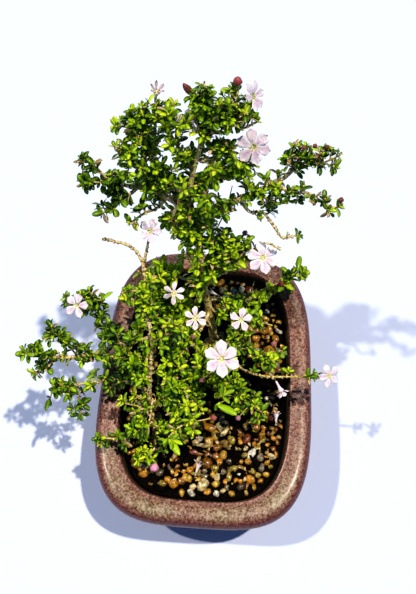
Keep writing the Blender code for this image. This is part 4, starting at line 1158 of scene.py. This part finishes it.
def make_pebbles(material):
    """River stones in the patches that the photograph shows, each laid clear of most of its neighbours."""
    builder = Builder()
    rng = random.Random(SEEDS["pebbles"])
    kinds = [i for i, (_, weight) in enumerate(STONE_COLOURS) for _ in range(weight)]
    count = len(STONE_COLOURS) + 1
    level = SOIL_EDGE_Z + SOIL_CROWN
    blue = seen_at(TURQUOISE_PIXEL, level)
    laid = [(blue, USUAL_PEBBLE)]
    add_ball(builder, stone_matrix(blue, USUAL_PEBBLE, rng), PEBBLE_SHAPE, 0, stone=(count - 0.5) / count)
    for (across, down), reach, number in PEBBLE_PATCHES:
        for _ in range(number):
            radius = rng.triangular(*PEBBLE_RADII, USUAL_PEBBLE)
            for _ in range(PEBBLE_TRIES):
                angle, far = rng.uniform(0, 2 * math.pi), reach * math.sqrt(rng.random())
                spot = seen_at((across + far * math.cos(angle), down + far * math.sin(angle)), level)
                point = Vector((spot.x, spot.y, soil_height(spot.x, spot.y)))
                if superellipse_reach(point, PEBBLE_INSET + radius) > 1.0 or near_wood(point, radius):
                    continue
                if all((point - other).length > PEBBLE_CROWDING * (radius + size) for other, size in laid):
                    laid.append((point, radius))
                    value = (rng.choice(kinds) + 0.5) / count
                    add_ball(builder, stone_matrix(point, radius, rng), PEBBLE_SHAPE, 0, rough=PEBBLE_LUMPS,
                             seed=len(laid), stone=value)
                    break
    builder.piece("pebbles", [material], "soil")


def near_wood(point, radius):
    """True where a stone would sit in a stem."""
    for wood in (TRUNK, SECOND_STEM):
        foot = vector(wood[2][1])
        if (Vector((foot.x, foot.y, point.z)) - point).length < radius + wood[0] * MM:
            return True
    return False


def make_litter(material):
    """Dry curled leaves that lie between the pebbles."""
    builder = Builder()
    rng = random.Random(SEEDS["litter"])
    for _ in range(LITTER_COUNT):
        point = random_soil_point(rng) + UP * LITTER_LIFT
        heading = Vector((rng.uniform(-1, 1), rng.uniform(-1, 1), rng.uniform(-0.1, 0.2)))
        length = rng.uniform(*LITTER_LENGTHS) * MM
        tint = rng.uniform(*LITTER_TINTS)
        add_leaf(builder, point, heading, UP, length, LITTER_BREADTH * length, tint, fold=0.7, droop=0.1)
    builder.piece("litter", [material], "leaf")


# Wood and leaves

def fine_route(route):
    return smooth_route([vector(p) for p in route])


def add_nubs(builder, route, radius, rng):
    """Small swellings along a twig, where old leaf pairs stood."""
    length = route_length(route)
    distance = NUB_SPACING
    while distance < length - MM:
        point, direction = frame_on(route, distance)
        out = perpendicular(direction, rng.uniform(0, 2 * math.pi))
        size = radius * rng.uniform(0.9, 1.3)
        place = ball_place(point + out * (0.45 * radius), direction, size, 0.8 * size)
        add_ball(builder, place, NUB_SHAPE, BARK_SLOT, rough=NUB_LUMPS, seed=distance / MM, young=0.15)
        distance += NUB_SPACING * rng.uniform(0.6, 1.5)


def make_trunk(leaf, bark):
    """The trunk and its limbs, with short leafy shoots on the limbs and on the upper half of the trunk."""
    builder = Builder()
    rng = random.Random(SEEDS["trunk"])
    base, tip, route = TRUNK
    trunk = fine_route(route)
    add_stem(builder, trunk, "trunk", base, tip)
    leafy(builder, trunk, TRUNK_LOOK, rng)
    for base, tip, route in LIMBS.values():
        limb = fine_route(route)
        add_stem(builder, limb, "limb", base, tip)
        add_nubs(builder, limb, NUB_PART * base * MM, rng)
        leafy(builder, limb, LIMB_LOOK, rng, tuft=False)
    builder.piece("trunk_fine", [leaf, bark], "bark", "trunk")


def add_pair(builder, point, direction, turn, size, tint, rng, spread=1.0, rise=0.5):
    """Two opposite leaves."""
    for half in (0.0, math.pi):
        out = perpendicular(direction, turn + half + rng.uniform(*PAIR_SWING))
        heading = out * spread + direction * rise + UP * rng.uniform(*PAIR_LIFT)
        up = direction * 0.7 + UP + out * rng.uniform(*PAIR_ROLL)
        length = size * rng.uniform(*LEAF_LENGTH)
        dry = rng.random() < DRY_SHARE
        if dry:
            shade = rng.uniform(DRY_TINT, 1.0)
        else:
            shade = clamp(rng.gauss(tint, LEAF_SPREAD), 0.0, LIME_TINT)
        width = length * rng.uniform(*LEAF_BREADTH) * (DRY_NARROWING if dry else 1.0)
        fold = rng.uniform(*LEAF_FOLD) * (DRY_CURL if dry else 1.0)
        foot, droop = point + out * PAIR_STALK, rng.uniform(*LEAF_DROOP)
        add_leaf(builder, foot, heading, up, length, width, shade, fold=fold, droop=droop)


def add_tuft(builder, tip, direction, turn, size, tint, rng):
    """The rosette at a shoot's tip: pairs that get smaller and stand up round a yellow-green bud."""
    for layer, (part, spread, rise) in enumerate(TUFT_PAIRS):
        back = direction * ((0.9 - 0.4 * layer) * MM)
        lighter = min(LIME_TINT, tint + 0.10 * layer)
        around = turn + layer * math.pi / 2
        add_pair(builder, tip - back, direction, around, size * part, lighter, rng, spread, rise)
    if rng.random() < ROSETTE_BUD_SHARE and fits([tip + direction * MM]):
        place = ball_place(tip + direction * (0.6 * MM), direction, 0.52 * MM, 0.7 * MM)
        add_ball(builder, place, NUB_SHAPE, LEAF_SLOT, tint=BUD_TINT, across=0.6)


def add_shoot(builder, start, heading, length, look, rng, branching=BRANCHING):
    """A short leafy side shoot that bends up towards the light, and may branch once."""
    tint, size, _, _, _ = look
    size *= MM
    middle = start + heading * (0.5 * length)
    tip = middle + (heading + UP * UPWARD_BEND).normalized() * (0.5 * length)
    if is_bare(tip) or in_clearing(tip) or hides_bloom([tip]) or not fits([middle, tip]):
        return
    route = smooth_route([start, middle, tip], 1.2 * MM)
    add_stem(builder, route, "shoot", *SHOOT_RADII)
    turn = rng.uniform(0, math.pi)
    shade = tint + rng.gauss(0.0, SHOOT_SPREAD)
    distance = rng.uniform(*FIRST_PAIR) * MM
    while distance < length - 1.2 * MM:
        point, direction = frame_on(route, distance)
        add_pair(builder, point, direction, turn, size, shade - 0.05, rng)
        turn += math.pi / 2
        distance += rng.uniform(*PAIR_SPACING) * MM
    point, direction = frame_on(route, length)
    add_tuft(builder, point, direction, turn, size, shade, rng)
    if rng.random() < branching:
        fork, along = frame_on(route, FORK_PLACE * length)
        side = (perpendicular(along, rng.uniform(0, 2 * math.pi)) + along * 0.6).normalized()
        add_shoot(builder, fork, side, FORK_LENGTH * length, look, rng, 0.0)


def leafy(builder, route, look, rng, tuft=True):
    """Leaf pairs and side shoots along a twig, and a rosette at its tip."""
    tint, size, spacing, first, shoot_length = look
    length = route_length(route)
    distance, turn = first * MM, rng.uniform(0, 2 * math.pi)
    while distance < length - 1.5 * MM:
        point, direction = frame_on(route, distance)
        out = perpendicular(direction, turn)
        heading = (out + direction * 0.45 + UP * rng.uniform(0.2, 0.9)).normalized()
        near_tip = 1.0 - 0.45 * distance / length
        add_shoot(builder, point, heading, shoot_length * MM * near_tip * rng.uniform(0.6, 1.2), look, rng)
        if rng.random() < PAIR_SHARE:
            add_pair(builder, point, direction, turn + 1.2, size * MM, tint - 0.08, rng)
        if rng.random() < BARE_SHARE:
            aside = (perpendicular(direction, turn + 2.0) + direction * 0.8).normalized()
            bare = point + aside * rng.uniform(4, 8) * MM
            if fits([bare]) and not hides_bloom([bare]):
                middle = (point + bare) / 2 + UP * (0.6 * MM)
                add_stem(builder, [point, middle, bare], "bare twig", *BARE_RADII)
        turn += SHOOT_TURN
        distance += spacing * MM * rng.uniform(0.7, 1.3)
    if tuft:
        point, direction = frame_on(route, length)
        add_tuft(builder, point, direction, turn, size * MM * 1.08, tint + 0.04, rng)


def nearest_point(routes, target):
    points = [point for route in routes for point in route]
    return min(points, key=lambda point: (point - target).length)


def add_stalks(builder, name, routes):
    """Stalks from the nearest twig to each bloom and bud that a spray or stem bears."""
    ends = []
    for carrier, centre, facing, _, _ in FLOWERS.values():
        axis = Vector(facing).normalized()
        ends.append((carrier, vector(centre) - axis * FLOWER_TUBE_LENGTH, axis))
    for carrier, centre, facing, _, half in BUDS.values():
        axis = Vector(facing).normalized()
        ends.append((carrier, vector(centre) - axis * (half * MM), axis))
    for carrier, foot, axis in ends:
        if carrier == name:
            bend = foot - axis * (1.6 * MM)
            route = smooth_route([nearest_point(routes, bend), bend, foot + axis * (0.3 * MM)], 1.0 * MM)
            add_stem(builder, route, "stalk", *STALK_RADII)


def add_small_buds(builder, name, routes):
    """Small buds on short stalks, on the spray that bears them."""
    for pixel, height, radius, tint, carrier in SMALL_BUDS:
        if carrier != name:
            continue
        centre = seen_at(pixel, height * MM)
        start = nearest_point(routes, centre)
        axis = (centre - start).normalized()
        add_stem(builder, smooth_route([start, centre], MM), "bud stalk", *BUD_STALK_RADII)
        add_bud(builder, centre, axis, radius * MM, 1.15 * radius * MM, tint, BUD_SLOT)


def add_large_leaves(builder, name, routes, rng):
    """The larger leaves that stand out, each with a pair of usual ones, on the spray that bears them."""
    for foot, tip, height, tint, carrier in LARGE_LEAVES:
        if carrier != name:
            continue
        base = seen_at(foot, height * MM)
        along = seen_at(tip, (height + 2) * MM) - base
        start = nearest_point(routes, base)
        add_stem(builder, smooth_route([start, base], MM), "shoot", *LEAF_STALK_RADII)
        length = along.length * 1.05
        width = LARGE_LEAF_BREADTH * length
        add_leaf(builder, base, along, UP, length, width, tint, fold=0.7, droop=0.12)
        add_pair(builder, base, along.normalized(), rng.uniform(0, 3), 5 * MM, tint - 0.15, rng)


def add_bud(builder, centre, axis, radius, half, tint, slot):
    """A closed bud: five wrapped petals round a pointed body."""
    sides, rings = BUD_SHAPE
    turn = turned_to(axis)
    verts = []
    for r in range(rings + 1):
        level = r / rings
        size = math.sin(math.pi * min(1.0, level * 0.97 + 0.03)) ** BUD_FULLNESS
        for s in range(sides):
            angle = 2 * math.pi * s / sides
            wrap = math.cos(BUD_PETALS * (angle + BUD_TWIST * level))
            fold = 1.0 + BUD_FOLD * wrap * min(1.0, 2.2 * level)
            point = Vector((math.cos(angle) * radius * size * fold, math.sin(angle) * radius * size * fold,
                            (2 * level - 1) * half))
            verts.append(centre + turn @ point)
    builder.add(verts, ring_faces(rings + 1, sides), slot, tint=tint)


def make_spray(index, name, leaf, bark, bud):
    radius, routes = SPRAYS[name]
    builder = Builder()
    rng = random.Random(SEEDS["sprays"] + index)
    look = SPRAY_LOOKS.get(name, USUAL_LOOK)
    fine = [fine_route(route) for route in routes]
    for twig in EXTRA_TWIGS.get(name, []):
        ends = [seen_at((x, y), height * MM) for x, y, height in twig]
        fine.append(smooth_route([nearest_point(fine, ends[0]), *ends]))
    fine = [trimmed(route) for route in fine]
    for i, route in enumerate(fine):
        base, nub = (radius, NUB_PART * radius) if i == 0 else (SIDE_TWIG_RADIUS, SIDE_NUB_RADIUS)
        add_stem(builder, route, "twig", base, TWIG_TIP_RADIUS)
        add_nubs(builder, route, nub * MM, rng)
    add_stalks(builder, name, fine)
    add_small_buds(builder, name, fine)
    add_large_leaves(builder, name, fine, rng)
    for i, route in enumerate(fine):
        leafy(builder, route, look if i == 0 else (*look[:3], SIDE_TWIG_FIRST, look[4]), rng)
    builder.piece(name + "_fine", [leaf, bark, bud], "leaf", name)


def make_second_stem(leaf, bark, bud):
    builder = Builder()
    rng = random.Random(SEEDS["second_stem"])
    base, tip, route = SECOND_STEM
    stem = fine_route(route)
    add_stem(builder, stem, "second stem", base, tip)
    add_nubs(builder, stem, NUB_PART * base * MM, rng)
    leafy(builder, stem, STEM_LOOK, rng, tuft=False)
    routes = []
    for base, tip, route in PRONGS.values():
        routes.append(fine_route(route))
        add_stem(builder, routes[-1], "prong", base, tip)
        add_nubs(builder, routes[-1], base * MM, rng)
    for route in STEM_SHOOTS:
        routes.append(fine_route(route))
        add_stem(builder, routes[-1], "sprig", *SPRIG_RADII)
        leafy(builder, routes[-1], USUAL_LOOK, rng)
    add_stalks(builder, "second_stem", routes)
    builder.piece("second_stem_fine", [leaf, bark, bud], "bark", "second_stem")


# Blooms and buds

def add_petal(builder, centre, out, axis, radius, form, rng, faded):
    """One lobe as a thin closed sheet that rises from the throat and curves back at its tip."""
    rise, recurve, breadth = form
    rise += rng.uniform(*RISE_CHANGE)
    recurve += rng.uniform(*RECURVE_CHANGE)
    side = axis.cross(out).normalized()
    length = radius - PETAL_FOOT
    lean = rng.uniform(*LEAN_CHANGE)
    wave = rng.uniform(*WAVE_RANGE)
    forward = out * math.cos(rise) + axis * math.sin(rise)
    lift = axis * math.cos(rise) - out * math.sin(rise)
    upper, lower, along, across = [], [], [], []
    for part, reach in PETAL_STATIONS:
        for place in PETAL_ACROSS:
            sway = side * (place * reach * breadth * radius + lean * radius * part ** 2)
            ripple = PETAL_RIPPLE * math.sin(6 * part + 2.5 * place * wave)
            height = lift * (radius * (PETAL_CUP * place ** 2 * wave - recurve * part ** 2 + ripple))
            point = centre + out * PETAL_FOOT + forward * (length * part) + sway + height
            upper.append(point + axis * PETAL_THICKNESS / 2)
            lower.append(point - axis * PETAL_THICKNESS / 2)
            along.append(part)
            across.append(place)
    columns, rows = len(PETAL_ACROSS), len(PETAL_STATIONS)
    below = len(upper)
    faces = []
    for r in range(rows - 1):
        for c in range(columns - 1):
            a, b = r * columns + c, (r + 1) * columns + c
            faces.append((a, b, b + 1, a + 1))
            faces.append((below + a, below + a + 1, below + b + 1, below + b))
    edge = [r * columns for r in range(rows)] + [(rows - 1) * columns + c for c in range(1, columns)]
    edge += [r * columns + columns - 1 for r in range(rows - 2, -1, -1)]
    edge += list(range(columns - 2, 0, -1))
    for a, b in zip(edge, edge[1:] + edge[:1]):
        faces.append((b, a, below + a, below + b))
    builder.add(upper + lower, faces, PETAL_SLOT, along=along * 2, across=across * 2, faded=faded)


def add_bloom(builder, centre, axis, radius, petals, form, rng, faded=0.0):
    """A bloom: tube, spreading lobes, anthers in the throat and small sepals at the foot."""
    foot = centre - axis * FLOWER_TUBE_LENGTH
    side = perpendicular(axis, 0.0)
    verts = []
    for part, size in TUBE_STATIONS + THROAT_STATIONS:
        for out in circle(side, axis.cross(side), TUBE_SIDES):
            verts.append(foot + axis * (FLOWER_TUBE_LENGTH * part) + out * (size * MM))
    along = [0.6] * (TUBE_SIDES * len(TUBE_STATIONS)) + [0.0] * (TUBE_SIDES * len(THROAT_STATIONS))
    faces = ring_faces(len(TUBE_STATIONS + THROAT_STATIONS), TUBE_SIDES)
    builder.add(verts, faces, PETAL_SLOT, along=along, across=1.0, faded=faded)
    for i in range(petals):
        out = perpendicular(axis, 2 * math.pi * i / petals + rng.uniform(-0.06, 0.06))
        add_petal(builder, centre, out, axis, radius * rng.uniform(0.93, 1.0), form, rng, faded)
        if i < ANTHER_COUNT:
            anther = centre + out * ANTHER_RING + axis * ANTHER_RISE
            place = ball_place(anther, axis, ANTHER_RADIUS, ANTHER_HALF)
            add_ball(builder, place, ANTHER_SHAPE, ANTHER_SLOT)
            sepal, heading = foot - axis * SEPAL_DROP, axis + out * 0.45
            add_leaf(builder, sepal, heading, out, SEPAL_LENGTH, SEPAL_WIDTH, SEPAL_TINTS["bloom"],
                     slot=SEPAL_SLOT)


def make_flowers(petal, leaf, stamen):
    """The blooms on the plant, then those that lie on the soil."""
    for index, (name, (_, centre, facing, radius, petals)) in enumerate(FLOWERS.items()):
        builder = Builder()
        form = BLOOM_FORMS.get(name, USUAL_BLOOM)
        axis = Vector(facing).normalized()
        size = radius * MM * (1.0 if name == "flower_twig" else BLOOM_SCALE)
        rng = random.Random(index)
        add_bloom(builder, vector(centre), axis, size, petals, form, rng, FADED.get(name, 0.0))
        builder.piece(name + "_fine", [petal, leaf, stamen], "petal", name)
    for index, (name, ((x, y), (heading_x, heading_y), radius, petals)) in enumerate(FALLEN_FLOWERS.items()):
        builder = Builder()
        low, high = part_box(name)
        centre = Vector((x * MM, y * MM, (low[2] + high[2]) / 2))
        axis = Vector((heading_x, heading_y, 0.0)).normalized()
        rng = random.Random(SEEDS["fallen"] + index)
        add_bloom(builder, centre, axis, radius * MM, petals, FALLEN_FORM, rng, FADED[name])
        builder.piece(name + "_fine", [petal, leaf, stamen], "petal", name)


def make_buds(bud, leaf):
    for name, (_, centre, facing, radius, half) in BUDS.items():
        builder = Builder()
        axis = Vector(facing).normalized()
        centre = vector(centre)
        add_bud(builder, centre, axis, radius * MM, half * MM, BUD_TINTS[name], 0)
        foot = centre - axis * (half * MM)
        length, width = 1.1 * radius * MM, 0.7 * radius * MM
        for i in range(SEPAL_COUNT):
            out = perpendicular(axis, 2 * math.pi * i / SEPAL_COUNT)
            tint = SEPAL_TINTS["bud"]
            add_leaf(builder, foot, axis + out * 0.9, out, length, width, tint, slot=SEPAL_SLOT)
        builder.piece(name + "_fine", [bud, leaf], "bud", name)


# Stage

def add_sun(name, light):
    travel, colour, strength = light
    lamp = bpy.data.lights.new(name, "SUN")
    lamp.energy = strength
    lamp.color = colour
    lamp.angle = SUN_SOFTNESS
    scene_object(name, lamp).rotation_euler = Vector(travel).to_track_quat("-Z", "Y").to_euler()


def make_stage():
    """A pale floor, two suns, a pale blue sky, and the camera of the photograph."""
    mesh = bpy.data.meshes.new("floor")
    corners = [(x * FLOOR_HALF, y * FLOOR_HALF, -FLOOR_DROP) for x, y in FLOOR_CORNERS]
    mesh.from_pydata(corners, [], [(0, 1, 2, 3)])
    surface = Shader("floor", 0.9)
    surface.colour(FLOOR_COLOUR)
    mesh.materials.append(surface.material)
    floor = scene_object("floor", mesh)
    add_sun("key", KEY_LIGHT)
    add_sun("fill", FILL_LIGHT)
    world = bpy.data.worlds.new("sky")
    bpy.context.scene.world = world
    world.use_nodes = True
    tree = world.node_tree
    sky = tree.nodes["Background"]
    sky.inputs["Color"].default_value = (*SKY_COLOUR, 1.0)
    backdrop = tree.nodes.new("ShaderNodeBackground")
    backdrop.inputs["Color"].default_value = (*BACKDROP_COLOUR, 1.0)
    choice = tree.nodes.new("ShaderNodeMixShader")
    tree.links.new(tree.nodes.new("ShaderNodeLightPath").outputs["Is Camera Ray"], choice.inputs["Fac"])
    tree.links.new(sky.outputs["Background"], choice.inputs[1])
    tree.links.new(backdrop.outputs["Background"], choice.inputs[2])
    tree.links.new(choice.outputs["Shader"], tree.nodes["World Output"].inputs["Surface"])
    lens = bpy.data.cameras.new("camera")
    lens.sensor_width = SENSOR
    lens.lens = SENSOR * FOCAL_PIXELS / PHOTO_HEIGHT
    camera = scene_object("camera", lens)
    right, up, forward = camera_axes()
    turn = Matrix((right, up, -forward)).transposed().to_4x4()
    camera.matrix_world = Matrix.Translation(CAMERA_PLACE) @ turn
    bpy.context.scene.camera = camera
    view = bpy.context.scene.view_settings
    view.view_transform = "Standard"
    view.look = CONTRAST_LOOK
    view.exposure = EXPOSURE


def main():
    leaf, bark, bud = make_leaf(), make_bark(), make_bud_material()
    make_stage()
    make_pot(make_glaze())
    make_screens(plain("screen", (0.03, 0.03, 0.03), 0.6))
    make_soil(make_soil_material())
    make_pebbles(make_stone())
    make_litter(leaf)
    make_trunk(leaf, bark)
    make_second_stem(leaf, bark, bud)
    for index, name in enumerate(SPRAYS):
        make_spray(index, name, leaf, bark, bud)
    make_flowers(make_petal(), leaf, plain("stamen", (0.90, 0.86, 0.58), 0.6))
    make_buds(bud, leaf)


main()
